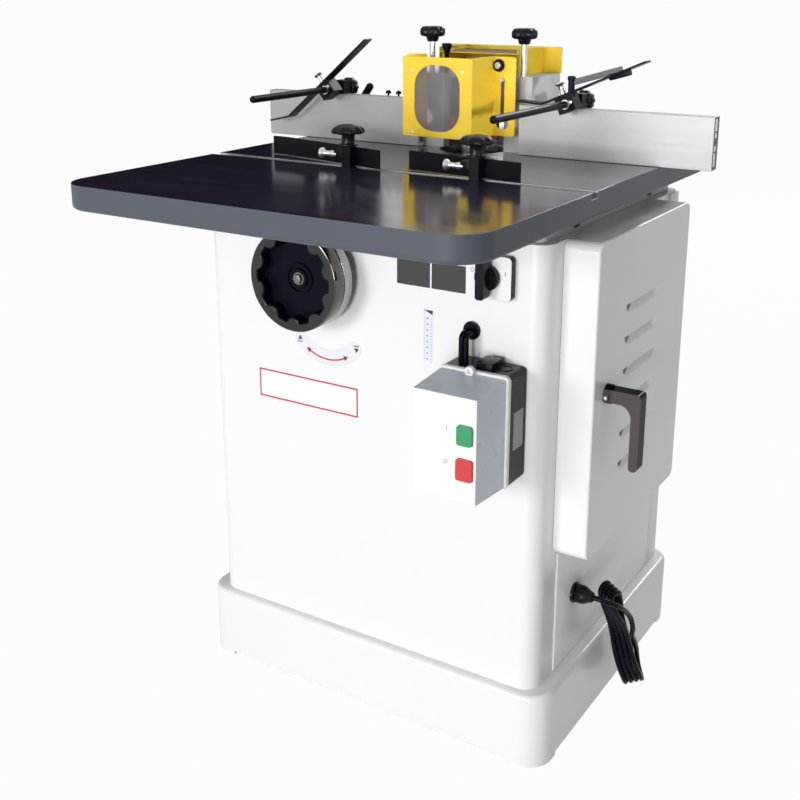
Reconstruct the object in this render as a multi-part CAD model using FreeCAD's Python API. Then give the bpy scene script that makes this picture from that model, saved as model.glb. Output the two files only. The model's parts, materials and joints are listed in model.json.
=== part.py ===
import FreeCAD, Part
import math
import os

# Spindle moulder, a woodworking floor machine. Millimetres.
# The origin lies on the floor under the middle of the table; +Z is up and the operator stands at -Y.

V = FreeCAD.Vector
RIGHT = V(1, 0, 0)
BACK = V(0, 1, 0)
UP = V(0, 0, 1)
LEFT = -RIGHT
FRONT = -BACK
DOWN = -UP

# Fits
OVER = 2.0              # how far a cutting shape runs past the face it cuts
RUN = 0.05              # radial clearance of a turning or sliding pin
GAP = 0.3               # clearance between other moving faces

# Table
TABLE_WIDTH = 700.0
TABLE_DEPTH = 880.0
TABLE_THICK = 38.0
TABLE_TOP = 912.0
TABLE_CORNER = 55.0
TABLE_ROUND = 6.0
TABLE_SKIN = 20.0
TABLE_RIM = 20.0
RIB_THICK = 12.0
POCKETS_WIDE_COUNT = 7
POCKETS_DEEP_COUNT = 9
OPENING_BOSS = 116.0
OPENING_RADIUS = 90.0
OPENING_LEDGE = 10.0
RING_THICK = 12.0
RING_BORE = 60.0
SLOT_SETBACK = 356.5
SLOT_WIDTH = 19.0
SLOT_DEPTH = 10.0
SLOT_FOOT_WIDTH = 25.0
SLOT_FOOT_HEIGHT = 4.0

# Cabinet, plinth and top frame
CABINET_WIDTH = 628.0
CABINET_DEPTH = 547.0
CABINET_SETBACK = 284.5
CABINET_CORNER = 28.0
SHEET = 2.5
SHELL_FLANGE = 46.0
PLINTH_SIDE = 25.0
PLINTH_FRONT = 16.0
PLINTH_HEIGHT = 128.0
PLINTH_CORNER = 42.0
PLINTH_ROUND = 8.0
PLINTH_WALL = 5.0
PLINTH_LEDGE = 90.0
FOOT_HEIGHT = 6.0
FOOT_TOP = 18.0
FOOT_SIZE = 58.0
FRAME_INSET = 14.0
FRAME_WALL = 32.0
FRAME_TALL = 32.0

# Fence
FENCE_SETBACK = 613.0
BOARD_LENGTH = 335.0
BOARD_HEIGHT = 82.0
BOARD_THICK = 22.0
BOARD_LIFT = 2.0
BOARD_INNER = 99.0
BOARD_WALL = 4.5
BOARD_MOUTH = 9.0
BOARD_MOUTH_DEPTH = 5.0
BOARD_SLOT = 17.0
BOARD_SLOT_DEPTH = 6.0
HOUSING_GAP = 0.2
HOUSING_HALF = 112.0
HOUSING_MOUTH = 60.0
HOUSING_WALL = 12.0
HOUSING_FRONT = 20.0
HOUSING_DEPTH = 110.0
HOUSING_TALL = 129.0
HOUSING_ROOF = 10.0
WING_END = 300.0
WING_TALL = 73.0
WING_THICK = 10.0
BASE_DEPTH = 60.0
BASE_THICK = 12.0
BASE_SLOT = 13.0
BASE_SLOT_LENGTH = 40.0
BASE_SLOT_X = 180.0
PORT_RADIUS = 47.0
PORT_WALL = 3.0
PORT_LENGTH = 58.0
PORT_RISE = 62.0
HOOD_HALF = 78.0
HOOD_TALL = 45.0
HOOD_SHEET = 2.0
HOOD_FRONT_GAP = 12.0
HOOD_FLANGE = 37.0
HOOD_ROOF_DROP = 8.0
KNOB_X = 90.0
KNOB_STEM = 5.0
KNOB_STEM_DEPTH = 38.0
KNOB_HUB = 10.5
KNOB_STEM_RISE = 53.0
KNOB_HUB_TALL = 9.0
KNOB_TALL = 18.0
KNOB_RADIUS = 22.5
KNOB_FLUTE = 4.0
KNOB_FLUTE_COUNT = 10

# Front guard
GUARD_LEFT = -82.0
GUARD_RIGHT = 52.0
GUARD_REACH = 80.0
GUARD_RISE = 30.0
GUARD_TALL = 133.0
GUARD_SHEET = 2.0
GUARD_FLANGE = 41.0
GUARD_CLEAR = 1.5
GUARD_ROOF_DROP = 10.0
GUARD_SLOT_OFF = 17.0
GUARD_SLOT_WIDTH = 7.0
GUARD_SLOT_RISE = 11.0
GUARD_SLOT_TALL = 87.0
GUARD_EYE = 12.0
GUARD_CORNER = 6.0
STUD_RADIUS = 3.0
STUD_REACH = 8.0
WINDOW_WIDTH = 88.0
WINDOW_HEIGHT = 110.0
WINDOW_RISE = 10.0
WINDOW_CORNER = 36.0
PANE_THICK = 3.0
PANE_MARGIN = 6.0

# Hold-downs on the fence
ROD_RADIUS = 6.0
ROD_RISE = 10.0
LEFT_ROD_REACH = 245.0
RIGHT_ROD_REACH = 285.0
BRACKET_HALF = 11.0
BRACKET_HEIGHT = 24.0
BRACKET_FRONT = 4.0
BRACKET_BACK = 30.0
CLAMP_HALF = 15.0
CLAMP_DEPTH = 28.0
CLAMP_SETBACK = 25.0
CLAMP_DROP = 13.0
SPRING_OFFSET = 13.8
SPRING_THICK = 3.0
SPRING_WIDE = 24.0
SPRING_TIP = 45.0
SPRING_BEND_DEG = 26.8
LEFT_ROD_X = -275.0
LEFT_SPRING_UP = 125.0
LEFT_SPRING_DOWN = 102.0
LEFT_SPRING_DEG = 39.8
RIGHT_ROD_X = 200.0
RIGHT_SPRING_UP = 148.0
RIGHT_SPRING_DOWN = 42.0
RIGHT_SPRING_DEG = 23.0
ROD_KNOB_RADIUS = 18.0
ROD_KNOB_THICK = 18.0
ROD_KNOB_STEM = 4.0
ROD_KNOB_DEPTH = 12.0
ROD_KNOB_FLUTE = 3.0
LEVER_X = 280.0
LEVER_BOLT = 4.0
LEVER_HEAD = 7.5
LEVER_HEAD_THICK = 4.8
LEVER_SPACER = 9.0
LEVER_SPACER_LENGTH = 22.0
LEVER_HUB = 12.0
LEVER_HUB_LENGTH = 16.0
LEVER_ROD = 7.0
LEVER_LENGTH = 62.0
LEFT_LEVER_DEG = 35.0
RIGHT_LEVER_DEG = 100.0

# Pressure posts in the mitre slot
POST_SIDE = 16.0
POST_TALL = 33.0
POST_STUD = 5.0
POST_STUD_DEPTH = 20.0
POST_HUB = 13.0
POST_HUB_TALL = 18.0
POST_KNOB_TALL = 16.0
POST_KNOB_RADIUS = 27.5
POST_KNOB_FLUTE = 6.0
POST_KNOB_FLUTE_COUNT = 8
STRIP_THICK = 3.0
STRIP_TALL = 30.0
STRIP_LIFT = 1.0
STRIP_FOOT = 26.0
LEFT_POST_X = -73.0
LEFT_STRIP_LEFT = 191.0
LEFT_STRIP_RIGHT = 62.0
LEFT_STRIP_DEG = 12.3
RIGHT_POST_X = 158.0
RIGHT_STRIP_LEFT = 131.0
RIGHT_STRIP_RIGHT = 73.0
RIGHT_STRIP_DEG = 6.2

# Spindle, carriage, motor and drive
SPINDLE_BEHIND = 25.0
SPINDLE_RADIUS = 17.5
SPINDLE_DROP = 442.0
SHOULDER_DROP = 32.0
SHOULDER_RADIUS = 24.0
SHOULDER_THICK = 12.0
ARBOR_RADIUS = 15.0
ARBOR_RISE = 100.0
COLLAR_RADIUS = 22.0
CUTTER_RISE = 18.0
CUTTER_TALL = 40.0
CUTTER_BODY = 37.0
CUTTER_RADIUS = 45.0
CUTTER_TIP_THICK = 9.0
CUTTER_TIP_COUNT = 4
NUT_RISE = 82.0
NUT_TALL = 13.0
NUT_RADIUS = 20.0
QUILL_RADIUS = 52.0
QUILL_DROP = 367.0
QUILL_TALL = 255.0
QUILL_BORE = 32.0
BEARING_RADIUS = 36.0
BEARING_THICK = 17.0
BEARING_SINK = 3.0
COLUMN_DROP = 312.0
COLUMN_AHEAD = 122.0
COLUMN_STEM = 25.0
COLUMN_STEM_DEPTH = 29.0
COLUMN_HEAD = 45.0
COLUMN_HEAD_DEPTH = 20.0
COLUMN_FLANGE_HALF = 75.0
COLUMN_FLANGE_DEPTH = 84.0
COLUMN_FLANGE_THICK = 16.0
SLIDE_CLEAR = 0.1
CARRIAGE_HALF = 60.0
CARRIAGE_AHEAD = 106.0
CARRIAGE_NEAR = 23.0
CARRIAGE_DROP = 352.0
CARRIAGE_TALL = 230.0
NUT_ARM_RISE = 40.0
NUT_ARM_TALL = 60.0
NUT_ARM_HALF = 26.0
NUT_ARM_NEAR = 70.0
MOTOR_X = 195.0
MOTOR_AHEAD = 93.0
MOTOR_RADIUS = 86.0
MOTOR_FLANGE = 98.0
MOTOR_FLANGE_THICK = 12.0
MOTOR_TALL = 205.0
MOTOR_FIN = 5.0
MOTOR_FIN_THICK = 4.0
MOTOR_FIN_COUNT = 24
MOTOR_CAP = 22.0
MOTOR_SHAFT = 14.0
MOTOR_SHAFT_DEPTH = 120.0
MOTOR_HOLE = 40.0
PLATE_THICK = 16.0
PLATE_MARGIN = 100.0
GUSSET_THICK = 14.0
GUSSET_TALL = 110.0
GUSSET_REACH = 32.0
PULLEY_DROP = 435.0
PULLEY_TALL = 50.0
PULLEY_LIP = 8.0
PULLEY_LIP_STEP = 4.0
SPINDLE_PULLEY = 35.0
MOTOR_PULLEY = 70.0
BELT_THICK = 6.0

# Hand wheel, shaft and lead screw
WHEEL_X = -86.0
WHEEL_DROP = 160.0
WHEEL_RADIUS = 82.0
WHEEL_GAP = 20.0
WHEEL_DEPTH = 46.0
WHEEL_RIM = 8.0
WHEEL_GROOVE = 3.0
WHEEL_GROOVE_WIDTH = 4.0
WHEEL_BACK_BAND = 14.0
WHEEL_WEB = 9.0
WHEEL_HUB = 24.0
CUP_RADIUS = 70.0
CUP_SINK = 1.0
CUP_DEPTH = 24.0
CUP_WALL = 2.0
CUP_FLOOR = 4.0
CUP_NOTCH = 13.0
CUP_NOTCH_REACH = 74.0
CUP_NOTCH_COUNT = 10
CUP_BOSS = 16.0
CUP_BOSS_TALL = 5.0
CUP_DISH = 11.5
CUP_DISH_DEPTH = 3.0
WHEEL_SHAFT = 10.0
BUSH_FLANGE = 26.0
BUSH_FLANGE_THICK = 6.0
BUSH_BARREL = 17.0
BUSH_LENGTH = 34.0
SCREW_RADIUS = 9.0
SCREW_AHEAD = 88.0
SCREW_DROP = 372.0
BEVEL_PITCH = 20.0
BEVEL_FACE = 6.0
BEVEL_HUB = 14.0
PLATE_LEFT = -112.0
BRACKET_PLATE = 16.0
BRACKET_DROP = 222.0
BRACKET_ARM_THICK = 22.0
BRACKET_ARM_HALF = 18.0
BRACKET_ARM_NEAR = 70.0

# Electrics on the front
STARTER_INSET = 83.0
STARTER_DROP = 422.0
STARTER_WIDTH = 113.0
STARTER_HEIGHT = 172.0
STARTER_BASE = 51.0
STARTER_CORNER = 8.0
COVER_RIM = 7.0
COVER_LEDGE = 3.5
COVER_TALL = 90.0
COVER_FACE_WIDTH = 101.0
COVER_FACE_LOW = 7.0
COVER_FACE_HEIGHT = 156.0
COVER_ROUND = 1.5
COVER_WALL = 4.0
COVER_CAVITY_HALF = 49.0
COVER_CAVITY_LOW = 10.0
COVER_CAVITY_HIGH = 150.0
BUTTON_OFF = 33.5
START_RISE = 109.0
START_WIDTH = 24.0
START_HEIGHT = 29.0
STOP_RISE = 58.0
STOP_WIDTH = 26.0
STOP_HEIGHT = 32.0
BUTTON_PROUD = 5.0
BUTTON_LENGTH = 20.0
BUTTON_LIP = 2.0
BUTTON_LIP_THICK = 3.0
BUTTON_CORNER = 4.0
GROMMET_OFF = 35.0
GROMMET_DROP = 210.0
GROMMET_RADIUS = 14.0
GROMMET_BARREL = 9.0
GROMMET_THICK = 5.0
GROMMET_DEPTH = 10.0
CABLE_RADIUS = 4.0
CABLE_APART = 8.4
SWITCH_INSET = 86.0
SWITCH_DROP = 122.0
SWITCH_WIDTH = 73.0
SWITCH_HEIGHT = 65.0
SWITCH_DEPTH = 14.0
SWITCH_CORNER = 7.0
SWITCH_DIAL = 19.0
SWITCH_DIAL_THICK = 8.0
SWITCH_BAR = 14.0
SWITCH_BAR_LENGTH = 56.0
SWITCH_BAR_THICK = 20.0
SWITCH_STEM = 5.0
SWITCH_STEM_DEPTH = 10.0

# Motor door on the right side
DOOR_SETBACK = 52.5
DOOR_DEPTH = 386.0
DOOR_TALL = 497.0
DOOR_STAND = 0.5
DOOR_PROUD = 56.0
DOOR_SHEET = 2.0
DOOR_CORNER = 16.0
DOOR_ROUND = 4.0
DOOR_HOLE_MARGIN = 20.0
LOUVRE_SETBACK = 112.0
LOUVRE_LENGTH = 135.0
LOUVRE_RISE = 125.0
LOUVRE_STEP = 51.4
LOUVRE_COUNT = 6
LOUVRE_RADIUS = 23.8
LOUVRE_OUT = 14.8
LOUVRE_END = 16.0
LOUVRE_SHEET = 2.0
HINGE_OUT = 12.0
HINGE_BEHIND = 8.0
HINGE_RADIUS = 6.0
HINGE_PIN = 3.0
HINGE_TALL = 34.0
HINGE_LOW_RISE = 85.0
HINGE_HIGH_RISE = 415.0
HINGE_LEAF = 40.0
HINGE_LEAF_THICK = 2.5
HINGE_TAB = 8.0
LATCH_SETBACK = 49.0
LATCH_RISE = 261.0
LATCH_SPINDLE = 8.0
LATCH_BOSS = 15.0
LATCH_BOSS_THICK = 9.0
LATCH_NECK = 20.0
LATCH_REACH = 58.0
LATCH_GRIP = 14.0
LATCH_WIDE = 24.0
LATCH_CURVE = 20.0
LATCH_ROUND = 6.0
LATCH_LENGTH = 122.0
LATCH_INNER = 16.0
LATCH_TONGUE_THICK = 6.0
LATCH_TONGUE_WIDTH = 14.0
LATCH_TONGUE_LENGTH = 28.0

# Mains cord
CORD_RADIUS = 4.5
GLAND_SETBACK = 140.5
GLAND_RISE = 110.0
GLAND_NUT = 17.0
GLAND_NUT_LENGTH = 14.0
GLAND_TIP = 8.0
GLAND_TAPER = 22.0
GLAND_PLUG = 10.0
GLAND_PLUG_LENGTH = 8.0
LEAD_OUT = 36.0
LEAD_IN = 36.0
HANK_TOP_X = 362.0
HANK_TOP_Y = 30.0
HANK_TOP_Z = 232.0
HANK_END_X = 384.0
HANK_END_Y = 108.0
HANK_END_Z = 28.0
HANK_LOOP_COUNT = 4
HANK_STEP = 9.8
HANK_CROWN = 14.0
HANK_CROWN_HALF = 12.0
HANK_WAIST = 85.0
HANK_WAIST_HALF = 5.3
HANK_FOOT = 185.0
HANK_FOOT_HALF = 22.0
BEND_SHARE = 0.45

# Places that follow from the sizes
TABLE_FRONT = -TABLE_DEPTH / 2
TABLE_BASE = TABLE_TOP - TABLE_THICK
SLOT_Y = TABLE_FRONT + SLOT_SETBACK
CABINET_FRONT = TABLE_FRONT + CABINET_SETBACK
CABINET_BACK = CABINET_FRONT + CABINET_DEPTH
CABINET_SIDE = CABINET_WIDTH / 2
CABINET_TOP = TABLE_BASE - FRAME_TALL
FENCE_FACE = TABLE_FRONT + FENCE_SETBACK
FENCE_REAR = FENCE_FACE + BOARD_THICK + HOUSING_GAP
BOARD_BASE = TABLE_TOP + BOARD_LIFT
BOARD_TOP = BOARD_BASE + BOARD_HEIGHT
BOARD_MIDDLE = BOARD_BASE + BOARD_HEIGHT / 2
HOUSING_TOP = TABLE_TOP + HOUSING_TALL
WING_TOP = TABLE_TOP + WING_TALL
PORT_Z = TABLE_TOP + PORT_RISE
HOOD_TOP = HOUSING_TOP + HOOD_TALL
KNOB_HUB_Z = HOUSING_TOP + KNOB_STEM_RISE
KNOB_Z = KNOB_HUB_Z + KNOB_HUB_TALL
KNOB_TOP = KNOB_Z + KNOB_TALL
GUARD_BOTTOM = TABLE_TOP + GUARD_RISE
GUARD_TOP = GUARD_BOTTOM + GUARD_TALL
GUARD_SLOT_LOW = GUARD_BOTTOM + GUARD_SLOT_RISE
GUARD_SLOT_HIGH = GUARD_SLOT_LOW + GUARD_SLOT_TALL
WINDOW_Z = GUARD_BOTTOM + WINDOW_RISE
ROD_Z = BOARD_TOP + ROD_RISE
POST_TOP = TABLE_TOP + POST_TALL
POST_KNOB_Z = POST_TOP + POST_HUB_TALL
POST_KNOB_TOP = POST_KNOB_Z + POST_KNOB_TALL
SPINDLE_Y = FENCE_FACE + SPINDLE_BEHIND
SPINDLE_BOTTOM = TABLE_TOP - SPINDLE_DROP
SHOULDER_Z = TABLE_TOP - SHOULDER_DROP
ARBOR_TOP = TABLE_TOP + ARBOR_RISE
CUTTER_Z = TABLE_TOP + CUTTER_RISE
NUT_Z = TABLE_TOP + NUT_RISE
QUILL_BOTTOM = TABLE_TOP - QUILL_DROP
QUILL_TOP = QUILL_BOTTOM + QUILL_TALL
COLUMN_BOTTOM = TABLE_TOP - COLUMN_DROP
COLUMN_FACE = SPINDLE_Y - COLUMN_AHEAD
COLUMN_JAW = COLUMN_FACE + COLUMN_STEM_DEPTH
CARRIAGE_FRONT = SPINDLE_Y - CARRIAGE_AHEAD
CARRIAGE_BACK = SPINDLE_Y - CARRIAGE_NEAR
CARRIAGE_BOTTOM = TABLE_TOP - CARRIAGE_DROP
CARRIAGE_TOP = CARRIAGE_BOTTOM + CARRIAGE_TALL
NUT_ARM_BOTTOM = CARRIAGE_BOTTOM + NUT_ARM_RISE
NUT_ARM_TOP = NUT_ARM_BOTTOM + NUT_ARM_TALL
NUT_ARM_BACK = SPINDLE_Y - NUT_ARM_NEAR
MOTOR_Y = SPINDLE_Y - MOTOR_AHEAD
MOTOR_BOTTOM = CARRIAGE_BOTTOM + PLATE_THICK
MOTOR_TOP = MOTOR_BOTTOM + MOTOR_TALL
PULLEY_Z = TABLE_TOP - PULLEY_DROP
WHEEL_Z = TABLE_TOP - WHEEL_DROP
WHEEL_BACK = CABINET_FRONT - WHEEL_GAP
WHEEL_FACE = WHEEL_BACK - WHEEL_DEPTH
SCREW_Y = SPINDLE_Y - SCREW_AHEAD
SCREW_BOTTOM = TABLE_TOP - SCREW_DROP
BRACKET_FACE = COLUMN_FACE - BRACKET_PLATE
BRACKET_LOW = TABLE_TOP - BRACKET_DROP
BRACKET_ARM_BACK = SPINDLE_Y - BRACKET_ARM_NEAR
STARTER_X = CABINET_SIDE - STARTER_INSET
STARTER_BOTTOM = TABLE_TOP - STARTER_DROP
BUTTON_X = STARTER_X + BUTTON_OFF
START_Z = STARTER_BOTTOM + START_RISE
STOP_Z = STARTER_BOTTOM + STOP_RISE
COVER_BACK = CABINET_FRONT - STARTER_BASE
COVER_FACE = COVER_BACK - COVER_TALL
GROMMET_X = STARTER_X - GROMMET_OFF
GROMMET_Z = TABLE_TOP - GROMMET_DROP
SWITCH_X = CABINET_SIDE - SWITCH_INSET
SWITCH_Z = TABLE_TOP - SWITCH_DROP
DOOR_FRONT = CABINET_FRONT + DOOR_SETBACK
DOOR_BACK = DOOR_FRONT + DOOR_DEPTH
DOOR_BOTTOM = CABINET_TOP - DOOR_TALL
DOOR_INNER = CABINET_SIDE + DOOR_STAND
DOOR_FACE = CABINET_SIDE + DOOR_PROUD
LOUVRE_FRONT = DOOR_FRONT + LOUVRE_SETBACK
LOUVRE_BACK = LOUVRE_FRONT + LOUVRE_LENGTH
LOUVRE_LOW = DOOR_BOTTOM + LOUVRE_RISE
HINGE_X = CABINET_SIDE + HINGE_OUT
HINGE_Y = DOOR_BACK + HINGE_BEHIND
HINGE_LOW = DOOR_BOTTOM + HINGE_LOW_RISE
HINGE_HIGH = DOOR_BOTTOM + HINGE_HIGH_RISE
LATCH_Y = DOOR_FRONT + LATCH_SETBACK
LATCH_Z = DOOR_BOTTOM + LATCH_RISE
GLAND_Y = CABINET_FRONT + GLAND_SETBACK
GLAND_Z = PLINTH_HEIGHT + GLAND_RISE


def block(x0, x1, y0, y1, z0, z1):
    return Part.makeBox(x1 - x0, y1 - y0, z1 - z0, V(x0, y0, z0))


def rod(radius, foot, axis, length):
    return Part.makeCylinder(radius, length, foot, axis)


def cone(low, high, foot, axis, length):
    return Part.makeCone(low, high, length, foot, axis)


def ball(radius, centre):
    return Part.makeSphere(radius, centre)


def ring(outer, inner, foot, axis, length):
    start = foot - axis * OVER
    return rod(outer, foot, axis, length).cut(rod(inner, start, axis, length + 2 * OVER))


def join(shape, *others):
    return shape.fuse(list(others)).removeSplitter()


def less(shape, *tools):
    return shape.cut(list(tools))


def straight_edges(shape, axis):
    found = []
    for edge in shape.Edges:
        if edge.Curve.TypeId == "Part::GeomLine":
            if abs(edge.Curve.Direction.dot(axis)) > 1 - Part.Precision.angular():
                found.append(edge)
    return found


def rounded(shape, radius, axis):
    return shape.makeFillet(radius, straight_edges(shape, axis))


def edges_on(shape, axis, place):
    found = []
    for edge in shape.Edges:
        if all(abs(vertex.Point.dot(axis) - place) < RUN for vertex in edge.Vertexes):
            found.append(edge)
    return found


def prism(points, direction):
    wire = Part.makePolygon(points + [points[0]])
    return Part.Face(wire).extrude(direction)


def turned(shape, centre, axis, degrees):
    copy = shape.copy()
    copy.rotate(centre, axis, degrees)
    return copy


def mirrored(shape):
    return shape.mirror(V(0, 0, 0), RIGHT)


def around(shape, centre, axis, count):
    return [turned(shape, centre, axis, 360 * index / count) for index in range(count)]


def fluted(radius, flute, count, foot, axis, side, height):
    notch = rod(flute, foot + side * (radius + flute / 2) - axis * OVER, axis, height + 2 * OVER)
    return less(rod(radius, foot, axis, height), *around(notch, foot, axis, count))


def stadium(width, height, x, y, z, depth):
    half = width / 2
    low = V(x, y, z + half)
    high = V(x, y, z + height - half)
    middle = block(x - half, x + half, y, y + depth, z + half, z + height - half)
    return join(middle, rod(half, low, BACK, depth), rod(half, high, BACK, depth))


# Tubes for cords

def arc_between(start, heading, end):
    chord = end - start
    normal = heading.cross(chord)
    if normal.Length < RUN * RUN * chord.Length:
        return Part.makeLine(start, end)
    across = normal.cross(heading)
    across.normalize()
    radius = chord.dot(chord) / (2 * chord.dot(across))
    centre = start + across * radius
    middle = (start + end) * 0.5 - centre
    if chord.dot(heading) < 0:
        middle = -middle
    if middle.Length < RUN * radius:
        middle = heading * radius
    middle.normalize()
    return Part.Arc(start, centre + middle * radius, end).toShape()


def biarc(start, heading, end, leaving):
    chord = end - start
    both = heading + leaving
    square = 2 * (1 - heading.dot(leaving))
    along = chord.dot(both)
    if square < RUN * RUN:
        reach = chord.dot(chord) / (4 * chord.dot(leaving))
    else:
        reach = (math.sqrt(along * along + square * chord.dot(chord)) - along) / square
    first = start + heading * reach
    last = end - leaving * reach
    joint = (first + last) * 0.5
    through = last - first
    through.normalize()
    return [arc_between(start, heading, joint), arc_between(joint, through, end)]


def tube(edges, radius, start, heading):
    path = Part.Wire(Part.__sortEdges__(edges))
    profile = Part.Wire(Part.makeCircle(radius, start, heading))
    return path.makePipeShell([profile], True, False)


def bent_path(points):
    edges = []
    here = points[0]
    for index in range(1, len(points) - 1):
        corner = points[index]
        inward = corner - points[index - 1]
        outward = points[index + 1] - corner
        reach = BEND_SHARE * min(inward.Length, outward.Length)
        inward.normalize()
        outward.normalize()
        first = corner - inward * reach
        last = corner + outward * reach
        edges.append(Part.makeLine(here, first))
        edges.append(arc_between(first, inward, last))
        here = last
    edges.append(Part.makeLine(here, points[-1]))
    return edges


def bent_tube(points, radius):
    heading = points[1] - points[0]
    return tube(bent_path(points), radius, points[0], heading)


def length_of(edges):
    return sum(edge.Length for edge in edges)


# Stand and table

def make_plinth():
    x = CABINET_SIDE + PLINTH_SIDE
    y0 = CABINET_FRONT - PLINTH_FRONT
    y1 = CABINET_BACK + PLINTH_FRONT
    body = rounded(block(-x, x, y0, y1, FOOT_HEIGHT, PLINTH_HEIGHT), PLINTH_CORNER, UP)
    body = body.makeFillet(PLINTH_ROUND, edges_on(body, UP, PLINTH_HEIGHT))
    wall = PLINTH_WALL
    inside = block(-x + wall, x - wall, y0 + wall, y1 - wall, 0, PLINTH_HEIGHT - wall)
    inside = rounded(inside, PLINTH_CORNER - wall, UP)
    ledge = PLINTH_LEDGE
    window = block(-x + ledge, x - ledge, y0 + ledge, y1 - ledge, 0, PLINTH_HEIGHT + OVER)
    body = less(body, inside, window)
    outline = rounded(block(-x, x, y0, y1, 0, FOOT_TOP), PLINTH_CORNER, UP)
    side = FOOT_SIZE
    pads = []
    for px in (-x, x - side):
        for py in (y0, y1 - side):
            pads.append(outline.common(block(px, px + side, py, py + side, 0, FOOT_TOP)))
    return join(body, *pads)


def make_cabinet_shell():
    x = CABINET_SIDE
    y0 = CABINET_FRONT
    y1 = CABINET_BACK
    body = rounded(block(-x, x, y0, y1, PLINTH_HEIGHT, CABINET_TOP), CABINET_CORNER, UP)
    low = PLINTH_HEIGHT + SHEET
    high = CABINET_TOP - SHEET
    inside = block(-x + SHEET, x - SHEET, y0 + SHEET, y1 - SHEET, low, high)
    inside = rounded(inside, CABINET_CORNER - SHEET, UP)
    rim = SHELL_FLANGE
    window = block(-x + rim, x - rim, y0 + rim, y1 - rim, 0, CABINET_TOP + OVER)
    margin = DOOR_HOLE_MARGIN
    door_hole = block(x - rim, x + OVER, DOOR_FRONT + margin, DOOR_BACK - margin,
                      DOOR_BOTTOM + margin, CABINET_TOP - margin)
    front = y0 - OVER
    reach = rim + OVER
    bush_hole = rod(BUSH_BARREL, V(WHEEL_X, front, WHEEL_Z), BACK, reach)
    switch_hole = rod(SWITCH_DIAL, V(SWITCH_X, front, SWITCH_Z), BACK, reach)
    grommet_hole = rod(GROMMET_BARREL, V(GROMMET_X, front, GROMMET_Z), BACK, reach)
    gland_hole = rod(GLAND_PLUG, V(x + OVER, GLAND_Y, GLAND_Z), LEFT, reach)
    return less(body, inside, window, door_hole, bush_hole, switch_hole, grommet_hole, gland_hole)


def make_top_frame():
    x = CABINET_SIDE - FRAME_INSET
    y0 = CABINET_FRONT + FRAME_INSET
    y1 = CABINET_BACK - FRAME_INSET
    wall = FRAME_WALL
    body = rounded(block(-x, x, y0, y1, CABINET_TOP, TABLE_BASE), FRAME_INSET, UP)
    return less(body, block(-x + wall, x - wall, y0 + wall, y1 - wall, 0, TABLE_TOP))


def make_table():
    x = TABLE_WIDTH / 2
    y = TABLE_DEPTH / 2
    body = rounded(block(-x, x, -y, y, TABLE_BASE, TABLE_TOP), TABLE_CORNER, UP)
    body = body.makeFillet(TABLE_ROUND, edges_on(body, UP, TABLE_BASE))
    step_x = (TABLE_WIDTH - 2 * TABLE_RIM + RIB_THICK) / POCKETS_WIDE_COUNT
    step_y = (TABLE_DEPTH - 2 * TABLE_RIM + RIB_THICK) / POCKETS_DEEP_COUNT
    pockets = []
    for column in range(POCKETS_WIDE_COUNT):
        for row in range(POCKETS_DEEP_COUNT):
            x0 = -x + TABLE_RIM + column * step_x
            y0 = -y + TABLE_RIM + row * step_y
            x1 = x0 + step_x - RIB_THICK
            y1 = y0 + step_y - RIB_THICK
            near_x = min(max(0, x0), x1)
            near_y = min(max(SPINDLE_Y, y0), y1) - SPINDLE_Y
            if math.hypot(near_x, near_y) > OPENING_BOSS:
                pockets.append(block(x0, x1, y0, y1, TABLE_BASE - OVER, TABLE_TOP - TABLE_SKIN))
    centre = V(0, SPINDLE_Y, TABLE_BASE - OVER)
    hole = rod(OPENING_RADIUS - OPENING_LEDGE, centre, UP, TABLE_THICK + 2 * OVER)
    recess = rod(OPENING_RADIUS, V(0, SPINDLE_Y, TABLE_TOP - RING_THICK), UP, RING_THICK + OVER)
    half = SLOT_WIDTH / 2
    foot = SLOT_FOOT_WIDTH / 2
    floor = TABLE_TOP - SLOT_DEPTH
    slot = block(-x - OVER, x + OVER, SLOT_Y - half, SLOT_Y + half, floor, TABLE_TOP + OVER)
    under = block(-x - OVER, x + OVER, SLOT_Y - foot, SLOT_Y + foot, floor, floor + SLOT_FOOT_HEIGHT)
    return less(body, hole, recess, slot, under, *pockets)


def make_table_ring():
    foot = V(0, SPINDLE_Y, TABLE_TOP - RING_THICK)
    return ring(OPENING_RADIUS, RING_BORE, foot, UP, RING_THICK)


# Spindle lift

def make_slide_column():
    stem = block(-COLUMN_STEM, COLUMN_STEM, COLUMN_FACE, COLUMN_JAW, COLUMN_BOTTOM, TABLE_BASE)
    head = block(-COLUMN_HEAD, COLUMN_HEAD, COLUMN_JAW, COLUMN_JAW + COLUMN_HEAD_DEPTH,
                 COLUMN_BOTTOM, TABLE_BASE)
    flange = block(-COLUMN_FLANGE_HALF, COLUMN_FLANGE_HALF, BRACKET_FACE,
                   BRACKET_FACE + COLUMN_FLANGE_DEPTH, TABLE_BASE - COLUMN_FLANGE_THICK, TABLE_BASE)
    plate = block(PLATE_LEFT, COLUMN_STEM, BRACKET_FACE, COLUMN_FACE, BRACKET_LOW, TABLE_BASE)
    arm = block(WHEEL_X - BRACKET_ARM_HALF, WHEEL_X + BRACKET_ARM_HALF, BRACKET_FACE,
                BRACKET_ARM_BACK, BRACKET_LOW, BRACKET_LOW + BRACKET_ARM_THICK)
    body = join(stem, head, flange, plate, arm)
    shaft_hole = rod(WHEEL_SHAFT + RUN, V(WHEEL_X, BRACKET_FACE - OVER, WHEEL_Z), BACK,
                     BRACKET_PLATE + 2 * OVER)
    screw_hole = rod(SCREW_RADIUS + RUN, V(WHEEL_X, SCREW_Y, BRACKET_LOW - OVER), UP,
                     BRACKET_ARM_THICK + 2 * OVER)
    return less(body, shaft_hole, screw_hole)


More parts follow.
